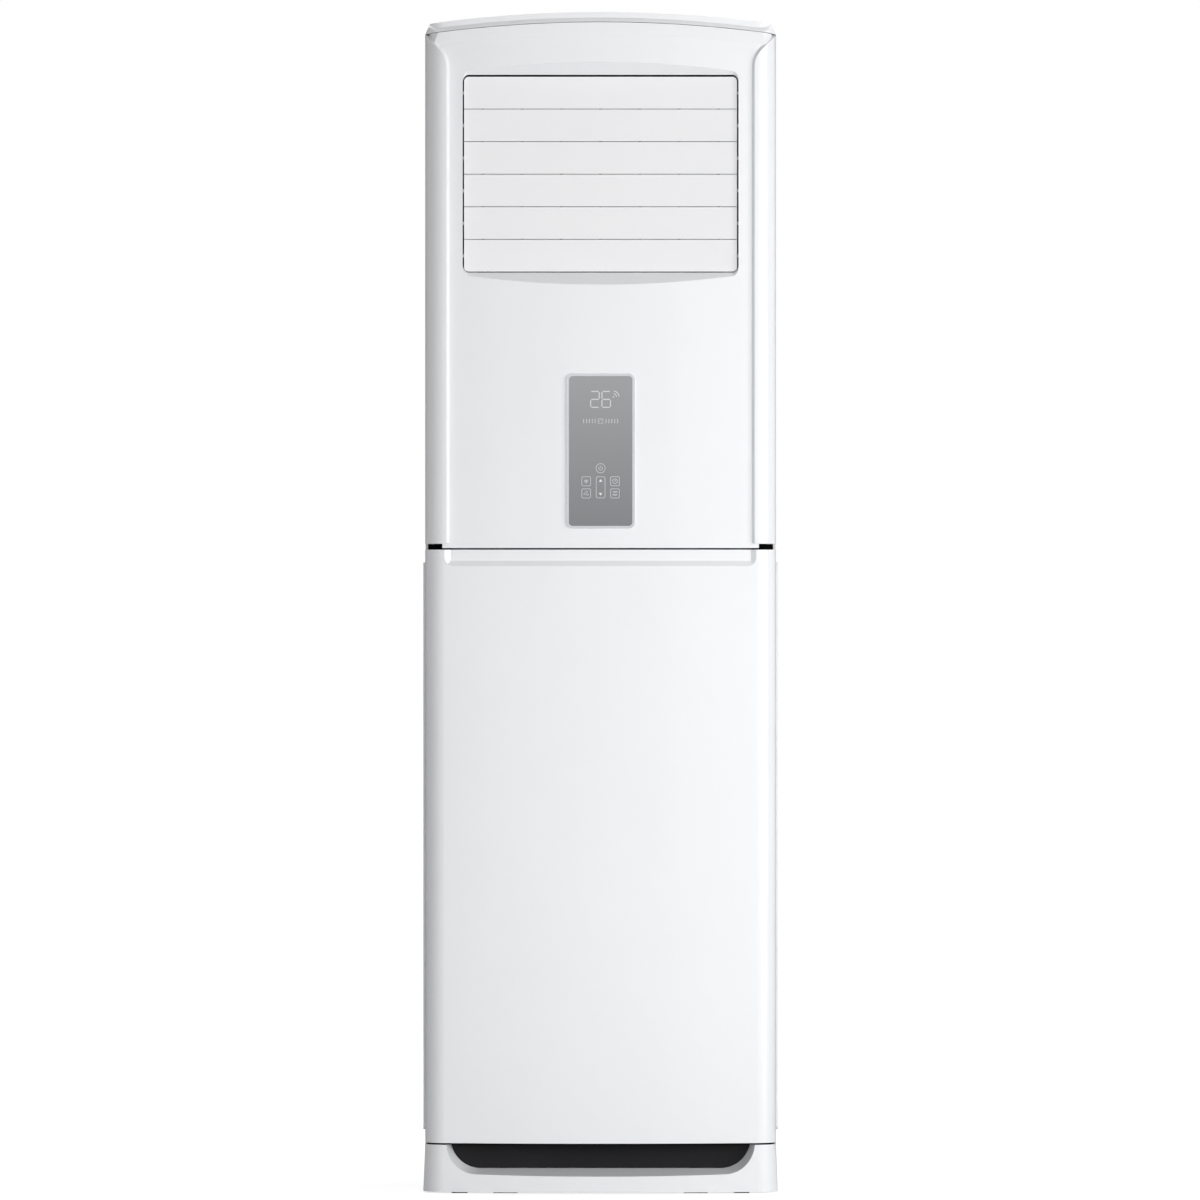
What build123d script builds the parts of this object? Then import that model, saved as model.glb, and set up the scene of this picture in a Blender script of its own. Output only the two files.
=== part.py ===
from build123d import *
import os
from math import acos, atan2, cos, hypot, pi, radians, sin, sqrt, tan

# A floor standing air conditioner. Millimetres, +Z up, front towards -Y, origin on the floor
# under the middle of the cabinet. Angles are in degrees.

# --- cabinet ---------------------------------------------------------------------------------
body_width = 536.0
body_depth = 390.0
body_height = 1800.0
half_width = body_width / 2
front_y = -body_depth / 2
back_y = body_depth / 2
front_radius = 1525.0        # bow of the front in plan
corner_radius = 34.0         # vertical edges of the front
recess = 6.0                 # how far the middle of the front lies behind its side stiles
wall = 3.0                   # moulded plastic
sheet = 1.2                  # steel sheet
play = 0.3                   # gap left beside a curved face of another piece
moulding_depth = 85.0        # how far the front mouldings wrap round the sides
side_seam_y = front_y + moulding_depth
side_seam = 0.6
screw_rise = 2.2             # the rear screws' heads stand out by this
panel_back = back_y - screw_rise
rear_inner = panel_back - sheet

# --- crown -----------------------------------------------------------------------------------
crown_radius = 2128.0        # arc of the top seen from the front
crown_band = 15.0            # height of the top cap above its seam
flare_height = 20.0          # the front flares out under the seam of the cap
flare_depth = 4.5
crown_roll = 30.0            # how far the cap's front edge rolls back
crown_turn = 20.0            # reaches past the sides, each way
cap_seam = 0.8
cap_end_slope = 0.5          # the ends of the cap lean in by this much of their height
cap_boss_x = half_width - 98.0
cap_boss_radius = 5.0

# --- heights ---------------------------------------------------------------------------------
base_height = 74.0
base_seam = 2.5
lower_top = body_height - 818.8
middle_seam = 2.6
side_gap = 6.5               # the seam opens out beside the stiles
groove_rise = 6.0            # shadow line above the lip of the upper front
groove_size = 1.4
step_height = 17.0           # recessed strip along the top of the lower front
step_slope = 8.0
step_corner = 14.0
stile_inner = half_width - 39.0          # where the recessed face ends
stile_bevel = 8.5
stile_turn_z = body_height - 82.0        # the stiles bend out to the corners above this height
stile_turn_radius = 42.0
stile_turn = 46.0

# --- frame and sheet metal -------------------------------------------------------------------
post_width = 22.0
post_sheet = 1.5
post_x = half_width - 13.0               # outer face of the corner posts
post_front = side_seam_y + 2.0
floor_z = base_height + post_sheet       # top of the base pan
roof_z = body_height - 36.0              # top of the roof plate
rear_screw_x = post_x - 12.0
rear_screw_count = 7
screw_head = 4.0
screw_shank = 1.6
pipe_hole_x = half_width - 103.0
pipe_hole_z = 160.0
pipe_hole_radius = 38.0
cable_hole_radius = 12.0
bracket_spacing = 300.0
bracket_z = body_height - 80.0
bracket_hole_radius = 3.5
bracket_flange = 30.0

# --- air outlet ------------------------------------------------------------------------------
outlet_width = body_width - 115.4
outlet_height = 301.5
outlet_high = body_height - 94.5
outlet_low = outlet_high - outlet_height
outlet_corner = 9.0
outlet_bow = front_radius - sqrt(front_radius ** 2 - outlet_width ** 2 / 4)
outlet_depth = outlet_bow + 4.43         # louvre plane behind the face, in the middle
louvre_y = front_y + recess + outlet_depth
blade_count = 6
blade_gap_top = 3.0
blade_gap_low = 1.5
blade_gap_side = 2.2
blade_seam = 1.0
blade_pitch = (outlet_height - blade_gap_top - blade_gap_low + blade_seam) / blade_count
blade_height = blade_pitch - blade_seam
blade_half = outlet_width / 2 - blade_gap_side
blade_edge = 2.4
blade_thick = 8.0
blade_pin_radius = 2.5
pin_play = 0.06
pivot_y = louvre_y + blade_thick - 1
crank_arm = 11.0
crank_pin_radius = 1.6
link_play = 0.3
link_thick = 3.0
link_width = 8.0
duct_wall = 6.0
duct_depth = 128.0
duct_half = outlet_width / 2 + duct_wall
duct_front = louvre_y + play
duct_back = louvre_y + duct_depth
vane_count = 7
vane_depth = 46.0
vane_thick = 2.2
vane_room = 62.0             # from the louvre plane back to the vanes' pivots
vane_pivot_y = louvre_y + vane_room
vane_end_gap = 9.0
vane_pin_radius = 2.5
vane_crank = 15.0
motor_radius = 12.0
motor_length = 17.0
motor_offset = 10.5          # its shaft stands off the middle of its body

# --- control panel ---------------------------------------------------------------------------
panel_width = 104.5
panel_height = 236.0
panel_centre_z = body_height - 668.5
panel_corner = 9.6
bezel_rim = 3.9
bezel_stand = 1.6
bezel_lap = 2.2              # how far the rim covers the edge of its opening
bezel_back = 14.0            # how deep the bezel's body reaches behind the face
glass_thick = 2.5
glass_ledge = 2.5
glass_sink = 0.5             # the glass lies this far behind the rim
board_thick = 1.6

# --- base ------------------------------------------------------------------------------------
notch_half = half_width - 31.0
notch_low = 29.0
notch_bevel = 8.0
notch_corner = 46.0
kick_y = front_y + 45.0      # dark back wall of the toe recess
foot_height = 2.0
foot_flange = 70.0           # how far the plinth's foot turns in at its sides
foot_outer_x = half_width - 53.0
foot_inner_x = half_width - 123.0
foot_depth = 18.0
foot_outer_width = 24.0
foot_inner_width = 37.0
foot_front_y = front_y + 32.0
foot_back_y = back_y - 14.0
base_flare = 3.0             # the foot of the plinth is wider than the cabinet

# --- side intakes ----------------------------------------------------------------------------
grille_low = base_height + 20.0
grille_high = lower_top - 19.2
grille_stand = 3.5
grille_frame = 16.0
grille_thick = 9.0
slat_count = 40
slat_thick = 2.4
slat_slope = 35.0
filter_thick = 5.0

# --- fan -------------------------------------------------------------------------------------
partition_z = lower_top - 201.2          # the fan chamber is below it, the coil chamber above
fan_x = -20.0
fan_z = floor_z + 324.5
wheel_radius = 150.0
wheel_front = front_y + 175.0
wheel_width = body_depth - 280.0
wheel_back = wheel_front + wheel_width
wheel_blades = 36
blade_chord = 16.0
blade_sheet = 1.5
shaft_radius = 6.0
hub_radius = 20.0
scroll_start = 165.0         # radius of the casing at its tongue
scroll_end = 225.0           # and where it turns up into the throat
tongue_angle = 65.0
scroll_side = 8.0            # room between the wheel and the casing's flat sides
scroll_sheet = 2.0
scroll_leg_x = 90.0          # each leg's distance from the fan's axis
scroll_leg_width = 40.0
inlet_radius = 118.0
motor_hole = 62.0
motor_gap = 14.0
fan_motor_length = 64.0
fan_motor_radius = 58.0
fan_motor_back = wheel_back + motor_gap + fan_motor_length

# --- heat exchanger and drain pan ------------------------------------------------------------
drain_low = partition_z + 17.0
drain_front = front_y + 40.0
drain_back = drain_front + 93.0
drain_middle = (drain_front + drain_back) / 2
drain_height = 26.0
drain_radius = 9.0
coil_width = 2 * (post_x - 55.0)
coil_height = 560.0
coil_depth = 50.0
coil_tilt = 22.0             # from upright, top towards the back
coil_clear = 17.4            # room between the coil's lower end and the drain pan
coil_y = drain_middle + 13.6 + coil_height / 2 * sin(radians(coil_tilt))
coil_z = drain_low + drain_height + coil_clear + coil_height / 2 * cos(radians(coil_tilt))
coil_rows = 12
tube_radius = 4.76
tube_pitch = 44.0
end_sheet = 1.5
drain_spout_x = 10.0 - coil_width / 2

# --- pipes -----------------------------------------------------------------------------------
gas_radius = 7.94
liquid_radius = 4.76
pipe_x = post_x - 19.0
gas_y = back_y - 45.0
liquid_y = back_y - 77.0
union_z = 190.0
union_length = 22.0
flare_gas = 11.1             # radius of the male union for the gas pipe
flare_liquid = 7.9
pipe_bend = 18.0
gas_tap_row = 5              # counted from the middle of the coil, between two bends
liquid_tap_row = -3

# --- electrics -------------------------------------------------------------------------------
case_half = 150.0
case_low = partition_z - 170.0
case_front = front_y + 23.0
case_back = case_front + 60.0
case_sheet = 1.0
pillar_height = 8.0          # stands the control board off the tray
pillar_radius = 3.0
pillar_inset = 8.0
terminal_left = 50.0
terminal_count = 6
terminal_pitch = 14.0
terminal_depth = 22.0
capacitor_radius = 20.0


def plan_face(front_inset, side_inset, back):
    """Plan of the cabinet with a bowed front, seen from above."""
    half = half_width - side_inset
    radius = front_radius - front_inset
    nose = front_y + front_inset
    shoulder = nose + radius - sqrt(radius ** 2 - half ** 2)
    sides = Polyline((-half, shoulder), (-half, back), (half, back), (half, shoulder))
    face = make_face([ThreePointArc((-half, shoulder), (0, nose), (half, shoulder)), *sides.edges()])
    corners = face.vertices().group_by(Axis.Y)[0]
    return fillet(corners, corner_radius - side_inset)


def prism(face, low, high):
    return extrude(Pos(0, 0, low) * face, high - low, dir=(0, 0, 1))


def box(x0, x1, y0, y1, z0, z1):
    return Pos((x0 + x1) / 2, (y0 + y1) / 2, (z0 + z1) / 2) * Box(x1 - x0, y1 - y0, z1 - z0)


def front_at(x, inset):
    """Y of the bowed front at x, for a face set back by inset."""
    radius = front_radius - inset
    return front_y + inset + radius - sqrt(radius ** 2 - x ** 2)


def both(shape):
    return [shape, mirror(shape, Plane.YZ)]


def cyl_x(x0, x1, y, z, radius):
    return Pos((x0 + x1) / 2, y, z) * Rot(0, 90, 0) * Cylinder(radius, x1 - x0)


def cyl_y(y0, y1, x, z, radius):
    return Pos(x, (y0 + y1) / 2, z) * Rot(90, 0, 0) * Cylinder(radius, y1 - y0)


def cyl_z(z0, z1, x, y, radius):
    return Pos(x, y, (z0 + z1) / 2) * Cylinder(radius, z1 - z0)


def section(points, x):
    """A closed outline of (y, z) points in the plane at x."""
    return make_face(Polyline(*[(x, y, z) for y, z in points], (x, *points[0])).edges())


def crowned(edges):
    """Turns a side-view section about the tilted axis that bows the crown back and down."""
    tilt = atan2(crown_radius, front_radius)
    radius = 1 / hypot(1 / crown_radius, 1 / front_radius)
    foot = (0, front_y + radius * sin(tilt), body_height - radius * cos(tilt))
    axis = Axis(foot, (0, cos(tilt), sin(tilt)))
    return revolve(make_face(edges).rotate(axis, -crown_turn), axis, 2 * crown_turn)


def above_crown(drop, nose):
    """The space over a crown that is drop lower than the top and starts nose further back."""
    top = body_height - drop
    start = top - crown_band
    y0 = front_y + recess - flare_depth + nose
    bend = (0, y0 + crown_roll * (1 - cos(radians(45))), start + crown_band * sin(radians(45)))
    roll = ThreePointArc((0, y0, start), bend, (0, y0 + crown_roll, top))
    ceiling = top + 2 * crown_band + crown_roll
    back = back_y + crown_roll
    outline = Polyline((0, y0 + crown_roll, top), (0, back, top), (0, back, ceiling),
                       (0, y0 - crown_roll, ceiling), (0, y0 - crown_roll, start), (0, y0, start))
    return crowned([*roll.edges(), *outline.edges()])


def above_seam(offset):
    """The space above the seam between the front moulding and the top cap."""
    z = body_height - crown_band + offset
    front = front_y - crown_roll
    back = back_y + crown_roll
    high = z + 2 * crown_band + 2 * crown_roll
    outline = Polyline((0, front, z), (0, back, z), (0, back, high), (0, front, high), (0, front, z))
    return crowned(outline.edges())


def upper_shape(front_inset, side_inset, drop, low):
    """The recessed upper body up to its crown, without the stiles, back to the rear panel."""
    body = prism(plan_face(front_inset, side_inset, panel_back), low, body_height + crown_band)
    return body - above_crown(drop, recess - crown_roll)


def flare(side_inset):
    """The lip under the cap, which the face flares out to."""
    seam = body_height - crown_band
    face_y = front_y + recess
    lip_y = face_y - flare_depth
    bend = (0, lip_y + crown_roll * (1 - cos(radians(45))), seam + crown_band * sin(radians(45)))
    roll = ThreePointArc((0, lip_y, seam), bend, (0, lip_y + crown_roll, body_height))
    back = face_y + 2 * crown_roll
    foot = seam - flare_height
    outline = Polyline((0, lip_y + crown_roll, body_height), (0, back, body_height), (0, back, foot),
                       (0, face_y, foot), (0, lip_y, seam))
    band = crowned([*roll.edges(), *outline.edges()])
    low = foot - 2 * flare_height
    return band & prism(plan_face(recess - flare_depth - 1, side_inset, 0), low, body_height + 20)


def cap_end():
    """The space outside the right end of the cap, which leans in from the seam to the crown."""
    seam_z = body_height - crown_band - crown_radius + sqrt(crown_radius ** 2 - half_width ** 2)
    rise = 3 * crown_band
    high_z = seam_z + rise
    outer_x = half_width + rise
    outline = Polyline((half_width, 0, seam_z), (half_width - cap_end_slope * rise, 0, high_z),
                       (outer_x, 0, high_z), (outer_x, 0, seam_z), (half_width, 0, seam_z))
    return extrude(make_face(outline.edges()), body_depth, both=True)


def stile():
    """The right raised stile, which bends out to the corner at its top."""
    turn = radians(stile_turn)
    centre = stile_inner + stile_turn_radius
    foot = (stile_inner, 0, lower_top + middle_seam + side_gap)
    start = (stile_inner, 0, stile_turn_z)
    middle = (centre - stile_turn_radius * cos(turn / 2), 0, stile_turn_z + stile_turn_radius * sin(turn / 2))
    end = (centre - stile_turn_radius * cos(turn), 0, stile_turn_z + stile_turn_radius * sin(turn))
    run = 2 * (half_width - end[0])
    tip = (end[0] + run * sin(turn), 0, end[2] + run * cos(turn))
    edge = Polyline(end, tip, (tip[0], 0, foot[2]), foot, start)
    outline = make_face([ThreePointArc(start, middle, end), *edge.edges()])
    reach = extrude(outline, body_depth, both=True)
    post = prism(plan_face(0, 0, side_seam_y), foot[2], body_height) & reach
    front = [e for e in post.edges() if on_stile_edge(e, foot[2])]
    return chamfer(front, recess, stile_bevel)


def on_stile_edge(edge, foot):
    """True for the edge between the stile's face and the cut that follows its outline."""
    reach = edge.bounding_box()
    upright = reach.size.X < 0.01 and reach.min.X > stile_inner + 1
    return reach.max.Y < side_seam_y - 1 and reach.max.Z > foot + 1 and not upright


def outlet_tool(margin, corner):
    """The louvre opening: walls that slope in to a flat louvre plane, with rounded corners."""
    width, height = outlet_width + 2 * margin, outlet_high - outlet_low + 2 * margin
    reach = outlet_depth + 30
    place = Pos(0, louvre_y, (outlet_low + outlet_high) / 2) * Rot(90, 0, 0)
    mouth = place * Pos(0, 0, reach) * Rectangle(width, height + 2 * reach)
    tool = loft([mouth, place * Rectangle(width, height)], ruled=True)
    if not corner:
        return tool
    sizes = [(e, e.bounding_box().size) for e in tool.edges()]
    return fillet([e for e, size in sizes if size.X < 0.01 and size.Y > 1], corner)


def panel_tool(margin):
    """The opening for the control panel, margin larger than its bezel's body all round."""
    size = (panel_width - 2 * bezel_rim + 2 * margin, body_depth, panel_height - 2 * bezel_rim + 2 * margin)
    hole = Pos(0, front_y, panel_centre_z) * Box(size[0], size[1] / 2, size[2])
    return fillet(hole.edges().filter_by(Axis.Y), panel_corner - bezel_rim + margin)


def upper_front_panel():
    low = lower_top + middle_seam
    outer = upper_shape(recess, recess, 0, low) + flare(recess)
    right, left = both(stile())
    outer = outer + right + left
    outer = outer & box(-half_width - 1, half_width + 1, front_y - 1, side_seam_y, low,
                        body_height + crown_band)
    inner = upper_shape(recess + wall, recess + wall, -crown_band, low - 1)
    collar = outlet_tool(wall, 0) & box(-half_width, half_width, 2 * front_y, louvre_y, low, body_height)
    shell = (outer - outlet_tool(0, outlet_corner)) - (inner - collar)
    shell = shell - above_seam(-cap_seam / 2) - panel_tool(bezel_lap)
    lip = stile_inner + stile_bevel + 4
    for sign in (-1, 1):
        shell -= Pos(sign * (lip + 60), 0, low) * Box(120, body_depth, 2 * side_gap)
    groove_z = low + groove_rise
    groove = prism(plan_face(0, 0, 0), groove_z, groove_z + groove_size)
    floor = recess + groove_size
    groove -= prism(plan_face(floor, floor, 0), groove_z, groove_z + groove_size)
    return shell - (groove & box(-lip, lip, front_y - 20, 0, low, low + 40))


def top_cap():
    outer = upper_shape(recess, 0, 0, body_height - 120) + flare(0)
    for end in both(cap_end()):
        outer -= end
    inner = upper_shape(recess + wall, recess + wall, wall, body_height - 130)
    inner = inner & box(-half_width, half_width, front_y, panel_back - wall, 0, body_height + 20)
    skirt = box(-half_width, half_width, side_seam_y + side_seam, back_y, roof_z, body_height)
    cap = (outer - inner) & (above_seam(cap_seam / 2) + skirt)
    cap = cap - box(-half_width, half_width, front_y, back_y, 0, roof_z)
    for x in (-cap_boss_x, cap_boss_x):
        for y in (post_front + 40, rear_inner - 40):
            cap += outer & cyl_z(roof_z, body_height + 20, x, y, cap_boss_radius)
    return cap


def top_strip():
    """Cuts the recessed strip along the top of the lower front, with its sloped edges."""
    low = lower_top - step_height - step_slope
    space = prism(plan_face(-1, 0, side_seam_y), low, lower_top + 1)
    slope_top = Pos(0, 0, low + step_slope) * plan_face(recess, 0, 0)
    space -= loft([Pos(0, 0, low) * plan_face(0, 0, 0), slope_top], ruled=True)
    space -= prism(plan_face(recess, 0, 0), low + step_slope, lower_top + 2)
    outer_y = front_at(stile_inner + stile_bevel, 0)
    inner_y = front_at(stile_inner, recess)
    slope = stile_bevel / (inner_y - outer_y)
    reach = outer_y - front_y + recess
    half = stile_inner + stile_bevel + slope * reach
    wedge = Polyline((-half, outer_y - reach, 0), (half, outer_y - reach, 0), (stile_inner, inner_y, 0),
                     (-stile_inner, inner_y, 0), (-half, outer_y - reach, 0))
    outline = Pos(0, front_y - 5, lower_top + 20) * Rot(-90, 0, 0) * RectangleRounded(
        2 * (stile_inner + stile_bevel), 2 * (20 + step_height + step_slope), step_corner)
    return space & prism(make_face(wedge.edges()), low, lower_top + 2) & extrude(outline, 60)


def lower_front_panel():
    low = base_height + base_seam
    strip_low = lower_top - step_height - step_slope
    outer = prism(plan_face(0, 0, side_seam_y), low, lower_top)
    inner = prism(plan_face(wall, wall, side_seam_y + 1), low + wall, strip_low - wall)
    inner += prism(plan_face(wall + recess, wall + recess, side_seam_y + 1), low + wall, lower_top - wall)
    return outer - top_strip() - inner


# --- cabinet frame and sheet metal -----------------------------------------------------------


def corner_posts():
    front = box(post_x - post_sheet, post_x, post_front, post_front + post_width, floor_z, roof_z - sheet)
    front += box(post_x - post_width, post_x, post_front, post_front + post_sheet, floor_z, roof_z - sheet)
    rear = box(post_x - post_sheet, post_x, rear_inner - post_width, rear_inner, floor_z, roof_z - sheet)
    rear += box(post_x - post_width, post_x, rear_inner - post_sheet, rear_inner, floor_z, roof_z - sheet)
    for x, z in rear_screw_places():
        rear -= cyl_y(rear_inner - 5, rear_inner + 1, x, z, screw_shank + 0.4)
    return both(front), both(rear)


def rear_screw_places():
    """The right column of screws that holds the rear panel on its post."""
    low = floor_z + 35
    step = (roof_z - 40 - low) / (rear_screw_count - 1)
    return [(rear_screw_x, low + k * step) for k in range(rear_screw_count)]


def roof_plate():
    return box(-post_x, post_x, post_front, rear_inner, roof_z - sheet, roof_z)


def side_panel():
    """The right upper side: a shallow tray of sheet, flanged in to the posts."""
    low = grille_high + side_seam
    outer = box(post_x, half_width, side_seam_y + side_seam, rear_inner, low, roof_z)
    inner = box(post_x - 1, half_width - sheet, side_seam_y + side_seam + sheet, rear_inner - sheet,
                low + sheet, roof_z - sheet)
    return outer - inner


def rear_panel():
    panel = box(-half_width, half_width, rear_inner, panel_back, floor_z, roof_z)
    panel -= cyl_y(rear_inner - 5, back_y, pipe_hole_x, pipe_hole_z, pipe_hole_radius)
    panel -= cyl_y(rear_inner - 5, back_y, -pipe_hole_x, pipe_hole_z, cable_hole_radius)
    for x, z in bracket_holes():
        panel -= cyl_y(rear_inner - 5, back_y, x, z, bracket_hole_radius)
    for x, z in rear_screw_places():
        for sign in (-1, 1):
            panel -= cyl_y(rear_inner - 5, back_y, sign * x, z, screw_shank + 0.4)
    return panel


def bracket_holes():
    return [(-bracket_spacing / 2, bracket_z), (bracket_spacing / 2, bracket_z)]


def wall_bracket():
    """Anti-tip strip screwed to the inside of the rear panel, drilled for two wall screws."""
    strip = box(-bracket_spacing / 2 - 25, bracket_spacing / 2 + 25, rear_inner - 3, rear_inner,
                bracket_z - bracket_flange / 2, bracket_z + bracket_flange / 2)
    for x, z in bracket_holes():
        strip -= cyl_y(rear_inner - 8, back_y, x, z, bracket_hole_radius)
    return strip


def grille():
    """The right intake grille: a deep rim with sloped slats across it."""
    front = side_seam_y + side_seam
    back = rear_inner
    inner = post_x + play
    outer = half_width + grille_stand
    rim = box(inner, outer, front, back, grille_low, grille_high)
    rim = fillet(rim.edges().filter_by(Axis.X), 6)
    rim -= box(inner - 1, outer + 1, front + grille_frame, back - grille_frame,
               grille_low + grille_frame, grille_high - grille_frame)
    slats = []
    low = grille_low + grille_frame
    high = grille_high - grille_frame
    pitch = (high - low) / slat_count
    depth = grille_thick / cos(radians(slat_slope))
    x = outer - grille_thick / 2 - 1.0
    for i in range(slat_count):
        slat = Box(depth, back - front - 2 * grille_frame + 1, slat_thick)
        slats.append(Pos(x, (front + back) / 2, low + (i + 0.5) * pitch) * Rot(0, slat_slope, 0) * slat)
    mullion = (back - front) / 3
    for k in (1, 2):
        y = front + k * mullion
        slats.append(box(outer - grille_thick - 1, outer - 3, y - 2, y + 2, low - 1, high + 1))
    return rim + slats


def air_filter():
    """Net in a frame that snaps into the back of the grille."""
    front = side_seam_y + side_seam + grille_frame + play
    back = rear_inner - grille_frame - play
    low = grille_low + grille_frame + play
    high = grille_high - grille_frame - play
    inner = post_x + play + 0.5
    frame = box(inner, inner + filter_thick, front, back, low, high)
    bays = 4
    rib = 6.0
    pitch = (high - low - rib) / bays
    for i in range(bays):
        frame -= box(inner - 1, inner + filter_thick - 0.8, front + rib, back - rib,
                     low + rib + i * pitch, low + (i + 1) * pitch)
    return frame


def notch_tool(margin):
    """The toe recess: a rounded opening whose walls draw in towards the back."""
    start = front_y - 5
    centre = base_height + notch_corner
    faces = []
    for y, draft in ((start, -4), (kick_y - 1, notch_bevel)):
        half = notch_half - draft + margin
        height = 2 * (centre - notch_low - draft + margin)
        faces.append(Pos(0, y, centre) * Rot(-90, 0, 0) * RectangleRounded(2 * half, height, notch_corner))
    return loft(faces, ruled=True)


def plinth():
    """The stand under the cabinet, flared at its foot, with a toe recess in front."""
    low = foot_height
    high = base_height - play
    outer = loft([Pos(0, 0, low) * plan_face(0, -base_flare, back_y),
                  Pos(0, 0, high) * plan_face(0, 0, back_y)], ruled=True)
    inner = prism(plan_face(wall + 1, wall, back_y - wall), low + wall, high + 1)
    inner += box(-half_width + foot_flange, half_width - foot_flange, kick_y + 10, back_y - foot_flange / 2,
                 low - 1, low + wall + 1)
    collar = notch_tool(wall) & inner & box(-half_width, half_width, front_y, kick_y, low, high)
    return outer - inner - notch_tool(0) + (collar - notch_tool(0))


def kick_recess():
    """Dark tray that closes the toe recess behind the plinth."""
    half = notch_half + 8
    low = foot_height + 8
    back = box(-half, half, kick_y, kick_y + 2, low, base_height)
    return back + box(-half, half, kick_y, kick_y + 14, low, low + 2)


def base_pan():
    """Steel floor of the cabinet, on the plinth, with a turned-down rim that stands in it."""
    gap = wall + play
    plate = prism(plan_face(10, gap, panel_back - wall), base_height, floor_z)
    front = kick_y + 6
    outer = box(-half_width + gap, half_width - gap, front, back_y - gap, base_height - 15, base_height + 0.5)
    inner = box(-half_width + gap + post_sheet, half_width - gap - post_sheet, front + post_sheet,
                back_y - gap - post_sheet, base_height - 16, base_height)
    sides = box(half_width - gap - 1, half_width, side_seam_y + side_seam, rear_inner, base_height, floor_z)
    sides += box(half_width - sheet, half_width, side_seam_y + side_seam, rear_inner, base_height,
                 grille_low - side_seam)
    return plate + (outer - inner) + both(sides)


def feet():
    """Rubber strips under the plinth's front and back."""
    strips = []
    for x, width in ((foot_outer_x, foot_outer_width), (foot_inner_x, foot_inner_width)):
        for y in (foot_front_y, foot_back_y):
            strip = box(x - width / 2, x + width / 2, y - foot_depth / 2, y + foot_depth / 2, 0, foot_height)
            strips += both(strip)
    return strips


# --- air outlet ------------------------------------------------------------------------------


def blade_z(index):
    """Height of a blade's pivot; blade 0 is the top one."""
    return outlet_high - blade_gap_top - blade_height / 2 - index * blade_pitch


def vane_x(index):
    return (index - (vane_count - 1) / 2) * outlet_width / vane_count


def outlet_frame():
    outer = box(-duct_half, duct_half, duct_front, duct_back, outlet_low - duct_wall, outlet_high + duct_wall)
    hole = box(-outlet_width / 2, outlet_width / 2, duct_front - 1, duct_back + 1, outlet_low, outlet_high)
    frame = outer - fillet(hole.edges().filter_by(Axis.Y), outlet_corner)
    for i in range(blade_count):
        frame -= cyl_x(-duct_half - 1, duct_half + 1, pivot_y, blade_z(i), blade_pin_radius + pin_play)
    for i in range(vane_count):
        frame -= cyl_z(outlet_low - duct_wall - 1, outlet_high + duct_wall + 1, vane_x(i), vane_pivot_y,
                       vane_pin_radius + pin_play)
    return frame


def louvre_blade(index):
    """One closing blade: flat outside, crowned inside, with its pins and crank."""
    z = blade_z(index)
    rise = blade_height / 2
    y = louvre_y
    face = Polyline((0, y + blade_edge, z - rise), (0, y, z - rise), (0, y, z + rise),
                    (0, y + blade_edge, z + rise))
    crown = (0, y + blade_thick, z)
    back = ThreePointArc((0, y + blade_edge, z + rise), crown, (0, y + blade_edge, z - rise))
    blade = extrude(make_face([*face.edges(), back]), blade_half, both=True)
    if index in (0, blade_count - 1):
        corners = blade.edges().filter_by(Axis.Y)
        tips = [e for e in corners if (e.center().Z > z) == (index == 0)]
        blade = fillet(tips, outlet_corner - blade_gap_side)
    blade += cyl_x(-duct_half - link_play, duct_half - link_play, pivot_y, z, blade_pin_radius)
    x = -duct_half - link_play
    arm = box(x - link_thick, x, pivot_y - blade_pin_radius - 1, pivot_y + crank_arm + crank_pin_radius + 1,
              z - blade_pin_radius - 1, z + blade_pin_radius + 1)
    arm = fillet(arm.edges().filter_by(Axis.X), blade_pin_radius)
    pin = cyl_x(x - 2 * link_thick - 1, x - link_thick + 0.5, pivot_y + crank_arm, z, crank_pin_radius)
    return blade + arm + pin


def louvre_link_bar():
    """Joins the cranks of all the blades."""
    x = -duct_half - link_play - link_thick - 0.2
    y = pivot_y + crank_arm
    bar = box(x - link_thick, x, y - link_width / 2, y + link_width / 2,
              blade_z(blade_count - 1) - link_width, blade_z(0) + link_width)
    bar = fillet(bar.edges().filter_by(Axis.X), link_width / 2 - 0.1)
    for i in range(blade_count):
        room = pin_play if i == 0 else link_play
        bar -= cyl_x(x - link_thick - 1, x + 1, y, blade_z(i), crank_pin_radius + room)
    return bar


def step_motor():
    """A small geared motor with two ears, its shaft at the origin, looking along +Z."""
    body = Pos(0, -motor_offset, -motor_length / 2) * Cylinder(motor_radius, motor_length)
    ears = Pos(0, -motor_offset, -0.5) * Box(2 * motor_radius + 12, 7, 1)
    cover = Pos(0, -motor_offset - motor_radius, -motor_length / 2) * Box(13, 6, motor_length - 3)
    return body + ears + cover


def louvre_motor():
    return Pos(duct_half, pivot_y, blade_z(blade_count // 2)) * Rot(0, -90, 0) * Rot(0, 0, 180) * step_motor()


def vane(index):
    """One upright vane with its two pivots and, under it, the pin of the link bar."""
    x = vane_x(index)
    low = outlet_low + vane_end_gap
    high = outlet_high - vane_end_gap
    plate = box(x - vane_thick / 2, x + vane_thick / 2, vane_pivot_y - vane_depth / 2,
                vane_pivot_y + vane_depth / 2, low, high)
    plate = fillet(plate.edges().filter_by(Axis.X), 5)
    core = cyl_z(low, high, x, vane_pivot_y, vane_pin_radius)
    reach = duct_wall - play
    pins = cyl_z(outlet_low - reach, outlet_high + reach, x, vane_pivot_y, vane_pin_radius)
    crank = cyl_z(low - vane_end_gap + 1, low + 6, x, vane_pivot_y + vane_crank, crank_pin_radius)
    return plate + core + pins + crank


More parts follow.
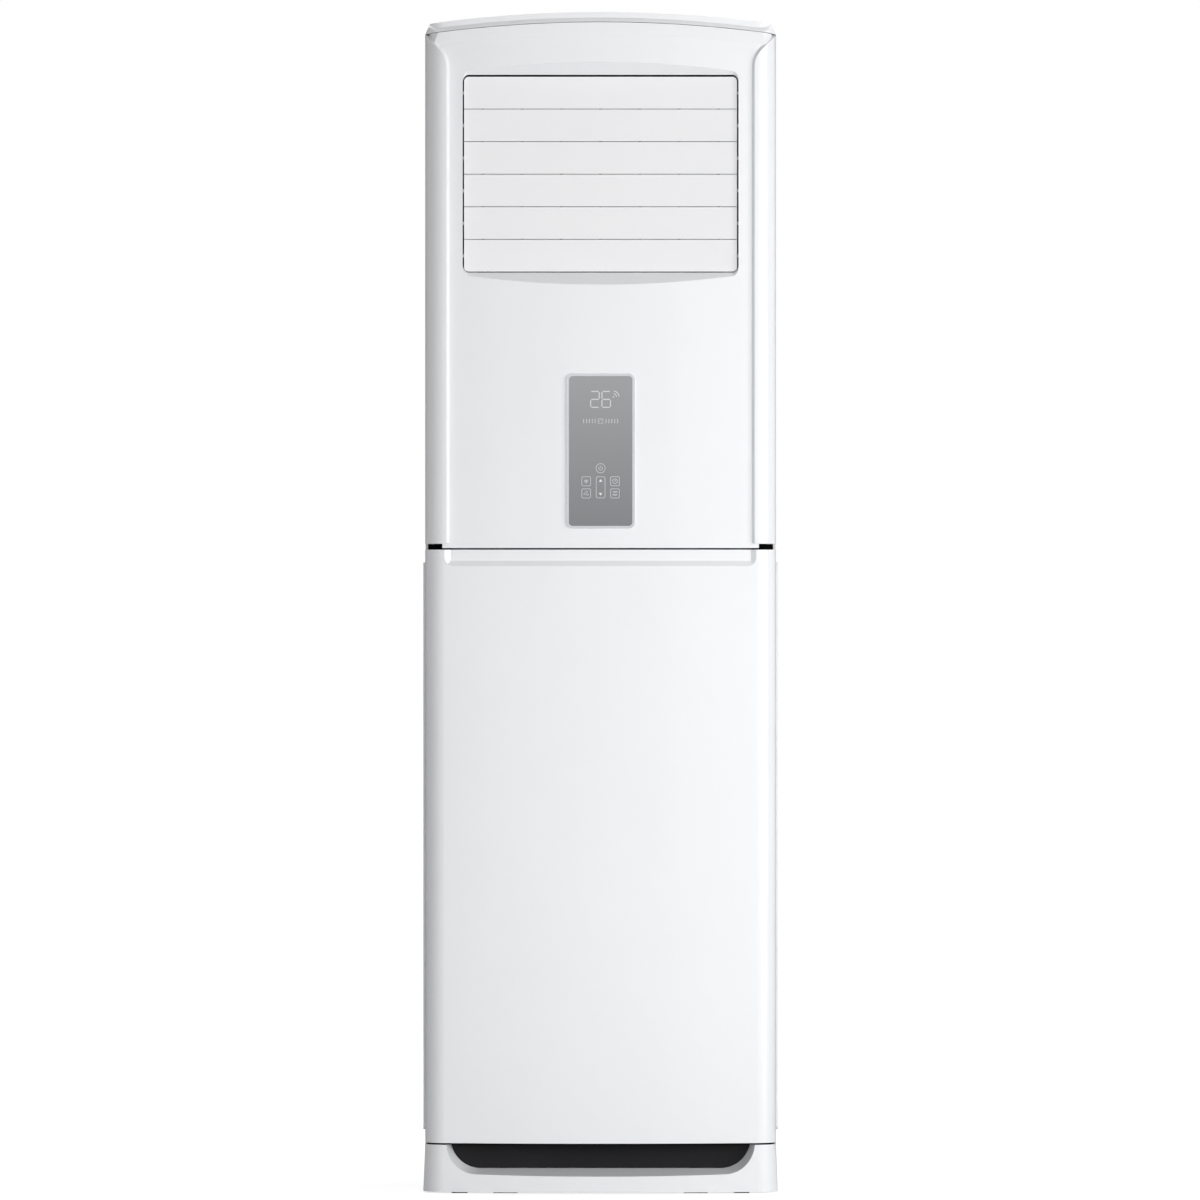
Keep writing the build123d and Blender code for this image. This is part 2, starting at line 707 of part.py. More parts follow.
def vane_link_bar():
    low = outlet_low + 2.5
    y = vane_pivot_y + vane_crank
    reach = vane_x(vane_count - 1) + link_width
    bar = box(-reach, reach, y - link_width / 2, y + link_width / 2, low, low + link_thick)
    bar = fillet(bar.edges().filter_by(Axis.Z), link_width / 2 - 0.1)
    for i in range(vane_count):
        room = pin_play if i == 0 else link_play
        bar -= cyl_z(low - 1, low + link_thick + 1, vane_x(i), y, crank_pin_radius + room)
    return bar


def vane_motor():
    return Pos(vane_x(vane_count // 2), vane_pivot_y, outlet_low - duct_wall) * step_motor()


# --- control panel ---------------------------------------------------------------------------


def control_bezel():
    """Rim round the glass; its body plugs into the front moulding."""
    face = front_y + recess
    half_w = panel_width / 2
    half_h = panel_height / 2
    z = panel_centre_z
    rim = box(-half_w, half_w, face - bezel_stand, face + wall_room(), z - half_h, z + half_h)
    rim = fillet(rim.edges().filter_by(Axis.Y), panel_corner)
    skin = prism(plan_face(recess, recess, 0), z - half_h - 5, z + half_h + 5)
    rim = rim - skin
    inset = bezel_rim - bezel_lap + play
    body = box(-half_w + inset, half_w - inset, face - 0.5, face + bezel_back,
               z - half_h + inset, z + half_h - inset)
    body = fillet(body.edges().filter_by(Axis.Y), panel_corner - inset)
    pocket = glass_block(play, -20, 20 - bezel_stand + glass_sink + glass_thick)
    return rim + body - pocket - glass_block(-glass_ledge, -20, 60)


def wall_room():
    return (panel_width / 2) ** 2 / (2 * front_radius) + 0.5


def glass_block(margin, front, depth):
    half_w = panel_width / 2 - bezel_rim + margin
    half_h = panel_height / 2 - bezel_rim + margin
    y = front_y + recess + front
    block = box(-half_w, half_w, y, y + depth, panel_centre_z - half_h, panel_centre_z + half_h)
    return fillet(block.edges().filter_by(Axis.Y), panel_corner - bezel_rim + margin)


def control_glass():
    return glass_block(0, glass_sink - bezel_stand, glass_thick)


def display_board():
    """Circuit board behind the glass, with the spring contacts of the touch keys on it."""
    y = front_y + recess - bezel_stand + glass_sink + glass_thick
    half_w = panel_width / 2 - bezel_rim - 3.5
    half_h = panel_height / 2 - bezel_rim - 3.5
    board = box(-half_w, half_w, y + 5, y + 5 + board_thick, panel_centre_z - half_h, panel_centre_z + half_h)
    for x, z in key_places():
        board += cyl_y(y + 0.3, y + 5.2, x, z, 2.5)
    module = box(-18, 18, y + 0.3, y + 5.2, panel_centre_z + half_h - 45, panel_centre_z + half_h - 15)
    return board + module


def key_places():
    """Touch key centres: power, the rocker's two ends and two columns of two."""
    z = panel_centre_z
    keys = [(0, z - 26.4), (0, z - 44.6), (0, z - 66.2)]
    keys += [(sign * 22.1, z + low) for sign in (-1, 1) for low in (-45.7, -64.0)]
    return keys


def display_housing():
    """Box that closes the back of the control panel."""
    face = front_y + recess
    y0 = face + bezel_back + play
    half_w = panel_width / 2 - bezel_rim + 4
    half_h = panel_height / 2 - bezel_rim + 4
    z = panel_centre_z
    lid = box(-half_w, half_w, y0, y0 + 12, z - half_h, z + half_h)
    room = box(-half_w + 6.5, half_w - 6.5, y0 - 1, y0 + 10, z - half_h + 6.5, z + half_h - 6.5)
    return lid - room


# --- fan -------------------------------------------------------------------------------------


def spiral(extra):
    """Outline of the casing seen from the front: a spiral that runs up into a throat."""
    left = throat_left() - extra
    right = fan_x + scroll_end + extra
    first = acos((left - fan_x) / (scroll_start + extra))
    steps = 10
    points = []
    for i in range(steps + 1):
        angle = first + (2 * pi - first) * i / steps
        radius = scroll_start + (scroll_end - scroll_start) * i / steps + extra
        points.append((fan_x + radius * cos(angle), 0, fan_z + radius * sin(angle)))
    edges = [ThreePointArc(*points[i:i + 3]) for i in range(0, steps, 2)]
    walls = Polyline(points[-1], (right, 0, partition_z), (left, 0, partition_z), points[0])
    return make_face([*edges, *walls.edges()])


def throat_left():
    return fan_x + scroll_start * cos(radians(tongue_angle))


def scroll_housing():
    """The fan's casing: a spiral wrapper between two flat cheeks, on two folded legs."""
    front = wheel_front - scroll_side
    back = wheel_back + scroll_side
    outline = spiral(scroll_sheet)
    wrapper = extrude(Pos(0, front, 0) * (outline - spiral(0)), back - front, dir=(0, 1, 0))
    front_cheek = extrude(Pos(0, front - scroll_sheet, 0) * outline, scroll_sheet, dir=(0, 1, 0))
    front_cheek -= cyl_y(front - 5, front + 5, fan_x, fan_z, inlet_radius + wall)
    back_cheek = extrude(Pos(0, back, 0) * outline, scroll_sheet, dir=(0, 1, 0))
    back_cheek -= cyl_y(back - 5, back + 5, fan_x, fan_z, motor_hole)
    return [wrapper, front_cheek, back_cheek, *scroll_legs(front - scroll_sheet, back + scroll_sheet)]


def scroll_legs(front, back):
    """Folded brackets that stand the casing on the floor of the cabinet."""
    body = extrude(Pos(0, front, 0) * spiral(scroll_sheet + 0.01), back - front, dir=(0, 1, 0))
    legs = []
    for x in (fan_x - scroll_leg_x, fan_x + scroll_leg_x):
        half = scroll_leg_width / 2
        block = box(x - half, x + half, front, back, floor_z, fan_z - 120)
        block -= box(x - half + scroll_sheet, x + half - scroll_sheet, front - 7, back + 7,
                     floor_z + scroll_sheet, fan_z)
        legs.append(block - body)
    return legs


def inlet_ring():
    """Bell mouth that leads the air into the wheel."""
    y0 = wheel_front - scroll_side - scroll_sheet
    profile = [(inlet_radius + 22, y0 - 2), (inlet_radius + 22, y0), (inlet_radius + wall - 0.2, y0),
               (inlet_radius + wall - 0.2, y0 + scroll_side), (inlet_radius, y0 + scroll_side),
               (inlet_radius, y0 + 2)]
    tip = (inlet_radius + 4, y0 - 2, 0)
    lip = ThreePointArc((inlet_radius, y0 + 2, 0), (inlet_radius + 1.2, y0 - 0.8, 0), tip)
    line = Polyline(tip, *[(x, y, 0) for x, y in profile])
    face = make_face([*lip.edges(), *line.edges()])
    return Pos(fan_x, 0, fan_z) * revolve(face, Axis.Y, 360)


def fan_wheel():
    """Drum of forward-curved blades on a back plate, with a hub for the motor shaft."""
    back = wheel_back
    plate = cyl_y(back - 2, back, fan_x, fan_z, wheel_radius)
    ring = cyl_y(wheel_front, wheel_front + 4, fan_x, fan_z, wheel_radius)
    ring -= cyl_y(wheel_front - 1, wheel_front + 5, fan_x, fan_z, wheel_radius - blade_chord)
    hub = cyl_y(back - 45, back, fan_x, fan_z, hub_radius)
    blades = []
    for i in range(wheel_blades):
        blade = Pos(wheel_radius - blade_chord / 2 - 1, wheel_front + wheel_width / 2, 0) \
            * Rot(0, -28, 0) * Box(blade_chord, wheel_width - 2, blade_sheet)
        blades.append(Pos(fan_x, 0, fan_z) * Rot(0, 360 * i / wheel_blades, 0) * blade)
    wheel = plate + ring + hub + blades
    return wheel - cyl_y(back - 50, back + 1, fan_x, fan_z, shaft_radius + pin_play)


def fan_motor():
    front = wheel_back + motor_gap
    body = cyl_y(front, fan_motor_back, fan_x, fan_z, fan_motor_radius)
    body = fillet(body.edges().filter_by(GeomType.CIRCLE), 8)
    shaft = cyl_y(wheel_back - 42, front + 2, fan_x, fan_z, shaft_radius)
    nose = cyl_y(wheel_back + 6, front + 1, fan_x, fan_z, 18)
    return body + shaft + nose


def motor_bracket():
    """Cross of steel strip from the rear panel that carries the motor's back."""
    y0 = fan_motor_back
    plate = cyl_y(y0, y0 + 2, fan_x, fan_z, fan_motor_radius + 4)
    legs = []
    for sx in (-1, 1):
        for sz in (-1, 1):
            x = fan_x + sx * 70
            z = fan_z + sz * 70
            arm = Rot(0, -sx * sz * 45, 0) * Box(95, 2, 24)
            legs.append(Pos(fan_x + sx * 40, y0 + 1, fan_z + sz * 40) * arm)
            legs.append(box(x - 14, x + 14, y0, rear_inner, z - 1.5, z + 1.5))
            legs.append(box(x - 14, x + 14, rear_inner - 2, rear_inner, z - 14, z + 14))
    return plate + legs


# --- heat exchanger --------------------------------------------------------------------------


def tilted(shape):
    return Pos(0, coil_y, coil_z) * Rot(-coil_tilt, 0, 0) * shape


def evaporator_fins():
    return tilted(Box(coil_width, coil_depth, coil_height))


def end_plates():
    plates = []
    for sign in (-1, 1):
        x = sign * (coil_width / 2 + end_sheet / 2)
        plate = Pos(x, 0, 0) * Box(end_sheet, coil_depth + 8, coil_height + 10)
        for side in (-1, 1):
            flange = Pos(x + sign * 9, side * (coil_depth / 2 + 4 - end_sheet / 2), 0) \
                * Box(20, end_sheet, coil_height + 10)
            plate += flange
        plate = tilted(plate)
        inner = coil_width / 2 + end_sheet
        for z, y0, y1 in coil_brackets():
            plate += box(*sorted((sign * inner, sign * (post_x - post_sheet))), y0, y1, z, z + end_sheet)
        plates.append(plate)
    return plates


def coil_brackets():
    """Height and reach in depth of the bars that hang the coil on the posts."""
    front_z = coil_z - 0.36 * coil_height
    rear_z = coil_z + 0.42 * coil_height
    slope = tan(radians(coil_tilt))
    front = coil_y + (front_z - coil_z) * slope
    rear = coil_y + (rear_z - coil_z) * slope
    return [(front_z, post_front + post_sheet + play, front), (rear_z, rear, rear_inner - post_sheet - play)]


def return_bends():
    """The hairpin ends of the tubes, outside each end plate."""
    bends = []
    for sign in (-1, 1):
        x = sign * (coil_width / 2 + end_sheet)
        for i in range(coil_rows):
            z = (i - (coil_rows - 1) / 2) * tube_pitch
            arc = Pos(x, 0, z) * bend(sign)
            bends.append(tilted(arc))
    return bends


def bend(sign):
    half = 12.5
    path = ThreePointArc((0, -half, 0), (sign * half, 0, 0), (0, half, 0))
    profile = Plane(origin=(0, -half, 0), z_dir=(sign, 0, 0)) * Circle(tube_radius)
    return sweep(profile, path)


def drain_pan():
    half = coil_width / 2 + 25
    outer = box(-half, half, drain_front, drain_back, drain_low, drain_low + drain_height)
    inner = box(2 - half, half - 2, drain_front + 2, drain_back - 2, drain_low + 2,
                drain_low + drain_height + 1)
    pan = outer - inner + cyl_z(drain_low - 40, drain_low + 1, drain_spout_x, drain_middle, drain_radius)
    for x in (-coil_width / 4, coil_width / 4):
        pan += box(x - 3, x + 3, post_front + post_width, drain_back - 8, partition_z + sheet, drain_low + 1)
    return pan - cyl_z(drain_low - 41, drain_low + 3, drain_spout_x, drain_middle, drain_radius - 2)


def partition_plate():
    """Divides the fan chamber from the coil chamber; the casing's throat opens through it."""
    half = post_x - post_sheet - play
    plate = box(-half, half, post_front + post_sheet + play, rear_inner - post_sheet - play,
                partition_z, partition_z + sheet)
    y0 = wheel_front - scroll_side
    plate -= box(throat_left(), fan_x + scroll_end, y0, y0 + wheel_width + 2 * scroll_side,
                 partition_z - 1, partition_z + 3)
    plate -= cyl_z(partition_z - 1, partition_z + 3, drain_spout_x, drain_middle, drain_radius + 4)
    for x, y, radius in pipe_lines():
        plate -= cyl_z(partition_z - 1, partition_z + 3, x, y, radius + 2)
    return plate


# --- refrigerant and drain pipes -------------------------------------------------------------


def pipe_lines():
    """The two pipes that run down beside the coil: x, y and radius."""
    return [(pipe_x, gas_y, gas_radius), (pipe_x, liquid_y, liquid_radius)]


def pipe_run(y, radius, row):
    """A copper pipe from the coil's end plate out, back and down to its union."""
    tap = coil_z + row * tube_pitch * cos(radians(coil_tilt))
    tap_y = coil_y + (tap - coil_z) * tan(radians(coil_tilt))
    start = (coil_width / 2 + end_sheet, tap_y, tap)
    path = FilletPolyline(start, (pipe_x, tap_y, tap), (pipe_x, y, tap - 40),
                          (pipe_x, y, union_z + union_length), radius=pipe_bend)
    profile = Plane(origin=path @ 0, z_dir=path % 0) * Circle(radius)
    bore = Plane(origin=path @ 0, z_dir=path % 0) * Circle(radius - 1)
    return sweep(profile, path) - sweep(bore, path)


def union(y, radius, thread):
    """Brass union at the end of a pipe: hexagon and male flare end, pointing down."""
    low = union_z
    body = cyl_z(low - 16, low + 2, pipe_x, y, thread)
    hexagon = extrude(Pos(pipe_x, y, low) * RegularPolygon(thread + 2.5, 6), 14, dir=(0, 0, 1))
    sleeve = cyl_z(low + 13, low + union_length - play, pipe_x, y, radius + 2)
    return body + hexagon + sleeve - cyl_z(low - 17, low + union_length + 1, pipe_x, y, radius - 2)


def gas_pipe():
    return pipe_run(gas_y, gas_radius, gas_tap_row)


def liquid_pipe():
    return pipe_run(liquid_y, liquid_radius, liquid_tap_row)


def flare_unions():
    return [union(gas_y, gas_radius, flare_gas), union(liquid_y, liquid_radius, flare_liquid)]


def drain_pipe():
    """Plastic pipe pushed on the drain spout, down to the foot of the cabinet."""
    top = drain_low - 14
    tube = cyl_z(union_z - 40, top, drain_spout_x, drain_middle, drain_radius + 2.5)
    tube -= cyl_z(union_z - 41, top + 1, drain_spout_x, drain_middle, drain_radius + pin_play)
    return tube


def grommet(x, radius, flange):
    """Rubber ring in a hole of the rear panel."""
    outer = cyl_y(rear_inner - 3, back_y - 0.5, x, pipe_hole_z, radius - play)
    outer += cyl_y(rear_inner - 3, rear_inner - 0.2, x, pipe_hole_z, radius + flange)
    return outer - cyl_y(rear_inner - 5, back_y + 5, x, pipe_hole_z, radius - 4)


def pipe_grommet():
    return grommet(pipe_hole_x, pipe_hole_radius, 5)


def cable_gland():
    return grommet(-pipe_hole_x, cable_hole_radius, 4)


# --- electrics -------------------------------------------------------------------------------


def electrical_box():
    """Steel tray hung under the partition, open to the front."""
    high = partition_z - play
    tray = box(-case_half, case_half, case_front, case_back, case_low, high - 40)
    tray -= box(-case_half + case_sheet, case_half - case_sheet, case_front - 1, case_back - case_sheet,
                case_low + case_sheet, high - 40 - case_sheet)
    for x in (-case_half + 20, case_half - 20):
        tray += box(x - 10, x + 10, case_back - 1, case_back, high - 42, high)
        tray += box(x - 10, x + 10, case_back - 1, post_front + 25, high - 1, high)
    return tray


def electrical_cover():
    y = case_front - play
    high = partition_z - play - 40
    cover = box(-case_half - 2, case_half + 2, y - 1, y, case_low - 2, high + 2)
    cover += box(-case_half - 2, case_half + 2, y - 1, y + 12, high + 0.8, high + 2)
    return cover


def main_board():
    """Control board on four pillars, with its transformer, relay, socket strip and capacitors."""
    tray_y = case_back - case_sheet
    board_y = tray_y - pillar_height
    left, right = -case_half + 14, 30
    low, high = case_low + 14, partition_z - 58
    board = box(left, right, board_y - board_thick, board_y, low, high)
    for x in (left + pillar_inset, right - pillar_inset):
        for z in (low + pillar_inset, high - pillar_inset):
            board += cyl_y(board_y - 0.5, tray_y, x, z, pillar_radius)
    seat = board_y - 1
    transformer = box(-120, -85, seat - 29, seat, low + 12, low + 45)
    relay = box(-70, -52, seat - 19, seat, low + 10, low + 30)
    sockets = box(-40, 10, seat - 11, seat, high - 26, high - 14)
    cans = [cyl_y(seat - 27, seat, -60 + 26 * k, low + 60, 9) for k in range(3)]
    return board + [transformer, relay, sockets, *cans]


def terminal_block():
    """Screw terminals for the mains and the outdoor unit."""
    tray_y = case_back - case_sheet
    front = tray_y - terminal_depth
    low = case_low + 20
    block = box(terminal_left, terminal_left + terminal_count * terminal_pitch, front, tray_y, low, low + 30)
    for k in range(terminal_count):
        x = terminal_left + (k + 0.5) * terminal_pitch
        block -= box(x - 5, x + 5, front - 1, front + 10, low + 9, low + 31)
        block += cyl_y(front + 6, front + 11, x, low + 18, 3.5)
    return block


def capacitor():
    """Run capacitor of the fan motor, clipped to the tray over the terminals."""
    tray_y = case_back - case_sheet
    x = terminal_left + terminal_count * terminal_pitch / 2
    can = cyl_z(case_low + 70, case_low + 115, x, tray_y - capacitor_radius, capacitor_radius)
    half = capacitor_radius + 6
    return can + box(x - half, x + half, tray_y - 2, tray_y, case_low + 80, case_low + 105)


# --- screws ----------------------------------------------------------------------------------


def rear_screws():
    """Pan head screws that hold the rear panel on the posts."""
    screws = []
    for x, z in rear_screw_places():
        for sign in (-1, 1):
            head = cyl_y(panel_back, back_y, sign * x, z, screw_head)
            head = fillet(head.faces().sort_by(Axis.Y)[-1].edges(), 1.2)
            shank = cyl_y(rear_inner - 6, panel_back + 0.2, sign * x, z, screw_shank)
            screws.append(head + shank)
    return screws


# --- all the pieces --------------------------------------------------------------------------

def clip_studs(panel):
    """Studs inside the lower front that snap towards the front posts."""
    for sign in (-1, 1):
        for z in (grille_low + 60, grille_high - 60):
            x = sign * (post_x - 12)
            stud = cyl_y(front_at(x, wall / 2), post_front - play, x, z, 4)
            panel = panel + stud
    return panel


def write(name, shape):
    """Writes one node; a list becomes a group of separate solids."""
    if isinstance(shape, (list, tuple)):
        shape = Compound(children=[solid for piece in shape for solid in piece.solids()])
    export_step(shape, os.path.join("parts", name + ".step"))


def main():
    os.makedirs("parts", exist_ok=True)
    front_posts, rear_posts = corner_posts()
    right_side, left_side = both(side_panel())
    right_grille, left_grille = both(grille())
    right_filter, left_filter = both(air_filter())
    nodes = {
        "upper_front_panel": upper_front_panel(), "lower_front_panel": clip_studs(lower_front_panel()),
        "top_cap": top_cap(), "roof_plate": roof_plate(), "corner_posts": [*front_posts, *rear_posts],
        "side_panel_right": right_side, "side_panel_left": left_side, "rear_panel": rear_panel(),
        "wall_bracket": wall_bracket(), "side_grille_right": right_grille, "side_grille_left": left_grille,
        "filter_right": right_filter, "filter_left": left_filter, "plinth": plinth(),
        "kick_recess": kick_recess(), "base_pan": base_pan(), "feet": feet(),
        "outlet_frame": outlet_frame(), "louvre_link_bar": louvre_link_bar(), "louvre_motor": louvre_motor(),
        "vane_link_bar": vane_link_bar(), "vane_motor": vane_motor(),
        "control_bezel": control_bezel(), "control_glass": control_glass(), "display_board": display_board(),
        "display_housing": display_housing(),
        "scroll_housing": scroll_housing(), "inlet_ring": inlet_ring(), "fan_wheel": fan_wheel(),
        "fan_motor": fan_motor(), "motor_bracket": motor_bracket(),
        "evaporator_fins": evaporator_fins(), "coil_end_plates": end_plates(), "return_bends": return_bends(),
        "drain_pan": drain_pan(), "drain_pipe": drain_pipe(), "partition_plate": partition_plate(),
        "gas_pipe": gas_pipe(), "liquid_pipe": liquid_pipe(), "flare_unions": flare_unions(),
        "rear_grommets": [pipe_grommet(), cable_gland()],
        "electrical_box": electrical_box(), "electrical_cover": electrical_cover(),
        "main_board": main_board(), "terminal_block": terminal_block(), "motor_capacitor": capacitor(),
        "rear_screws": rear_screws(),
    }
    for i in range(blade_count):
        nodes[f"louvre_blade_{i + 1}"] = louvre_blade(i)
    for i in range(vane_count):
        nodes[f"vane_{i + 1}"] = vane(i)
    for name, shape in nodes.items():
        write(name, shape)
    print(len(nodes), "nodes")


if __name__ == "__main__":
    main()
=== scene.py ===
# %% [markdown]
# # A floor standing air conditioner
# The real object is a tall cabinet. Steel panels hang on four posts, and glossy white plastic mouldings close its
# front, top and foot. Six louvres cover the air outlet, and a touch control window sits under them.
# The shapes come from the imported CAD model. This script gives each part the finish of the real one and adds
# what is too fine for CAD: printed signs, screw heads, fins and the net of the air filters.

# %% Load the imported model
import bpy
import bmesh
import math
from mathutils import Matrix, Vector


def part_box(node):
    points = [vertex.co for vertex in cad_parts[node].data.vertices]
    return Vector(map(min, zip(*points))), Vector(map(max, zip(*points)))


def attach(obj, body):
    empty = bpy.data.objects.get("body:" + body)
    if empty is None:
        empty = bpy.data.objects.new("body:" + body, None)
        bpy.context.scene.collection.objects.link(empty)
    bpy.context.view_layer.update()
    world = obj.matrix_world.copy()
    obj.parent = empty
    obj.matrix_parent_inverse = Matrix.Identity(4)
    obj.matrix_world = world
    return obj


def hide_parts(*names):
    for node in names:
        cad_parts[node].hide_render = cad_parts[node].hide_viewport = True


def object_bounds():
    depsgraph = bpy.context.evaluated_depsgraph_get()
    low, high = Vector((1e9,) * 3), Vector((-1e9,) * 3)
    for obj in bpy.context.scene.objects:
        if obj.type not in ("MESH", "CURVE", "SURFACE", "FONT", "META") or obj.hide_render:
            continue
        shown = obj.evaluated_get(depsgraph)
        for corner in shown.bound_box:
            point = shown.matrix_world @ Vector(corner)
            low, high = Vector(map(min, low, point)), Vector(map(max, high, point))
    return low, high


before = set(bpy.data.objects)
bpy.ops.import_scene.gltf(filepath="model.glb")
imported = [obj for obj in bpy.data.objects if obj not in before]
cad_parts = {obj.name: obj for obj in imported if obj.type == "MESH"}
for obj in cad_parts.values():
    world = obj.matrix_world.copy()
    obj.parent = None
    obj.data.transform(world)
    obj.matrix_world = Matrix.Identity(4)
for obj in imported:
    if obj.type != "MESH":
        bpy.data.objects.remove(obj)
cad_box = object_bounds()
print("size in metres:", [round(high - low, 4) for low, high in zip(*cad_box)])

# %% [markdown]
# ## Colours and nodes
# Paint makers and screens give a colour as sRGB hex, while the renderer adds up light, so it wants linear values.
# One function turns the first into the second. A second function adds a shader or geometry node with its settings
# and links, which keeps each material and each node tree below to a few readable lines. A third turns a mesh that
# was built here into an object.

# %% Turn hex colours to linear ones, add nodes, make objects
MM = 0.001


def linear(hex_colour):
    channels = [int(hex_colour[i:i + 2], 16) / 255 for i in (1, 3, 5)]
    return [c / 12.92 if c <= 0.04045 else ((c + 0.055) / 1.055) ** 2.4 for c in channels] + [1.0]


def add(tree, kind, inputs=(), **settings):
    """Adds a node. inputs maps a socket's name or place to a value, or to the socket that feeds it."""
    node = tree.nodes.new(kind)
    for name, value in settings.items():
        setattr(node, name, value)
    for key, value in dict(inputs).items():
        if isinstance(value, bpy.types.NodeSocket):
            tree.links.new(value, node.inputs[key])
        else:
            node.inputs[key].default_value = value
    return node


def plain_object(name, bm, finish):
    """Turns what was built in bm into an object at the origin with one finish."""
    mesh = bpy.data.meshes.new(name)
    bm.to_mesh(mesh)
    bm.free()
    mesh.materials.append(finish)
    made = bpy.data.objects.new(name, mesh)
    bpy.context.scene.collection.objects.link(made)
    return made


print("mid grey in linear light:", round(linear("#808080")[0], 3))

# %% [markdown]
# ## The view
# The photo was taken from far away, straight at the front: both sides show equally and nothing leans. A long lens
# far back gives that. The frame is 1827 mm tall at the cabinet's front, so lens and sensor give the distance. The
# middle of the photo falls almost on the cabinet's middle line, half way up.

# %% Camera
PHOTO_MM_PER_PX = 1.5228
PHOTO_SIDE_PX = 1200
LENS, SENSOR = 300.0, 36.0
AIM_X, AIM_Z = -0.0009, 0.9045
frame_height = PHOTO_MM_PER_PX * PHOTO_SIDE_PX * MM
front_y = cad_box[0][1]
distance = frame_height * LENS / SENSOR

camera_data = bpy.data.cameras.new("photo_camera")
camera_data.lens, camera_data.sensor_width, camera_data.clip_end = LENS, SENSOR, 200.0
camera = bpy.data.objects.new("photo_camera", camera_data)
camera.location = (AIM_X, front_y - distance, AIM_Z)
camera.rotation_euler = (math.pi / 2, 0, 0)
bpy.context.scene.collection.objects.link(camera)
bpy.context.scene.camera = camera
bpy.context.scene.view_settings.view_transform = "Standard"
print("camera is", round(distance, 2), "m in front")

# %% [markdown]
# ## The white room
# The photo is a studio shot on a white ground without a visible edge. The world lights the cabinet only faintly, but
# a camera ray that meets nothing sees white, and so do rays that were mirrored or let through, because bright metal
# and clear plastic in a white room show white.

# %% World
ROOM_LIGHT = 0.13
world = bpy.data.worlds.new("studio")
bpy.context.scene.world = world
world.use_nodes = True
tree = world.node_tree
tree.nodes.clear()
path = add(tree, "ShaderNodeLightPath")
seen = path.outputs["Is Camera Ray"]
for ray in ("Is Glossy Ray", "Is Transmission Ray"):
    seen = add(tree, "ShaderNodeMath", {0: seen, 1: path.outputs[ray]}, operation="MAXIMUM").outputs[0]
room_light = add(tree, "ShaderNodeBackground", {"Color": linear("#FFFFFF"), "Strength": ROOM_LIGHT})
white_ground = add(tree, "ShaderNodeBackground", {"Color": linear("#FFFFFF"), "Strength": 1.0})
mix = add(tree, "ShaderNodeMixShader", {0: seen, 1: room_light.outputs[0], 2: white_ground.outputs[0]})
add(tree, "ShaderNodeOutputWorld", {0: mix.outputs[0]})
print("world strength:", ROOM_LIGHT)

# %% [markdown]
# ## Lamps
# The cabinet's right side is bright and its left rounds off into grey, so the key light comes from the right, near
# the cabinet's middle height. A wide soft lamp from the front lights the whole face evenly, and a small one near the
# floor keeps the foot as bright as the rest. The two front lamps leave no mirror image, since the flat window would
# show it as a veil. Two weaker lamps behind serve the views from the back.

# %% Area lamps


def lamp(name, place, aim, size, power):
    """An area lamp at place that looks at aim. Sizes are in metres, and power in watts."""
    data = bpy.data.lights.new(name, "AREA")
    data.shape, data.size, data.size_y, data.energy = "RECTANGLE", size[0], size[1], power
    made = bpy.data.objects.new(name, data)
    made.location = place
    made.rotation_euler = (Vector(aim) - Vector(place)).to_track_quat("-Z", "Y").to_euler()
    bpy.context.scene.collection.objects.link(made)
    return made


lamp("key_right", (4.0, -2.3, 1.0), (0, 0, 0.9), (1.6, 3.4), 89)
lamp("key_near", (3.6, -4.2, 1.0), (0, 0, 0.9), (1.6, 3.4), 49)
front_wide = lamp("front_wide", (0.5, -6.0, 0.9), (0, 0, 0.85), (5.0, 3.4), 216)
front_low = lamp("front_low", (0.1, -1.5, 0.25), (0, -0.2, 0.2), (1.6, 0.4), 1.6)
for soft in (front_wide, front_low):
    soft.visible_glossy = False
lamp("top_soft", (0.0, 0.9, 4.2), (0, 0.1, 1.8), (2.0, 1.6), 40)
lamp("back_left", (-3.2, 3.6, 1.4), (0, 0, 0.9), (2.4, 3.0), 90)
lamp("back_right", (3.6, 3.2, 1.4), (0, 0, 0.9), (2.4, 3.0), 60)

# %% [markdown]
# ## Flags
# A white gloss surface mirrors the white room at a grazing angle, and the outline of the cabinet would be lost in
# the white ground. Studios hang dark cards, called flags, behind both edges. Only reflections see these two, so they
# cast no shadow and take no light.

# %% Dark cards behind both edges
FLAG_TONE, FLAG_HEIGHT = "#303032", 2.6
FLAG_NEAR, FLAG_FAR = (1.25, 0.45), (0.34, 2.4)


def flag(name, near, far, high):
    """A dark upright card over the line from near to far on the floor."""
    mesh = bpy.data.meshes.new(name)
    mesh.from_pydata([(*near, 0), (*far, 0), (*far, high), (*near, high)], [], [(0, 1, 2, 3)])
    card = bpy.data.materials.new(name)
    card.use_nodes = True
    card.node_tree.nodes["Principled BSDF"].inputs["Base Color"].default_value = linear(FLAG_TONE)
    mesh.materials.append(card)
    made = bpy.data.objects.new(name, mesh)
    bpy.context.scene.collection.objects.link(made)
    made.visible_camera = made.visible_diffuse = made.visible_transmission = made.visible_shadow = False


for name, side in (("flag_left", -1), ("flag_right", 1)):
    flag(name, (side * FLAG_NEAR[0], FLAG_NEAR[1]), (side * FLAG_FAR[0], FLAG_FAR[1]), FLAG_HEIGHT)
print("flags stand", FLAG_FAR[0], "to", FLAG_NEAR[0], "m beside the middle")

# %% [markdown]
# ## Floor
# The floor receives light like any grey floor, so the cabinet keeps its soft shadow. To the camera it also glows,
# and the glow rises with the distance from the cabinet until floor and room meet in the same white.

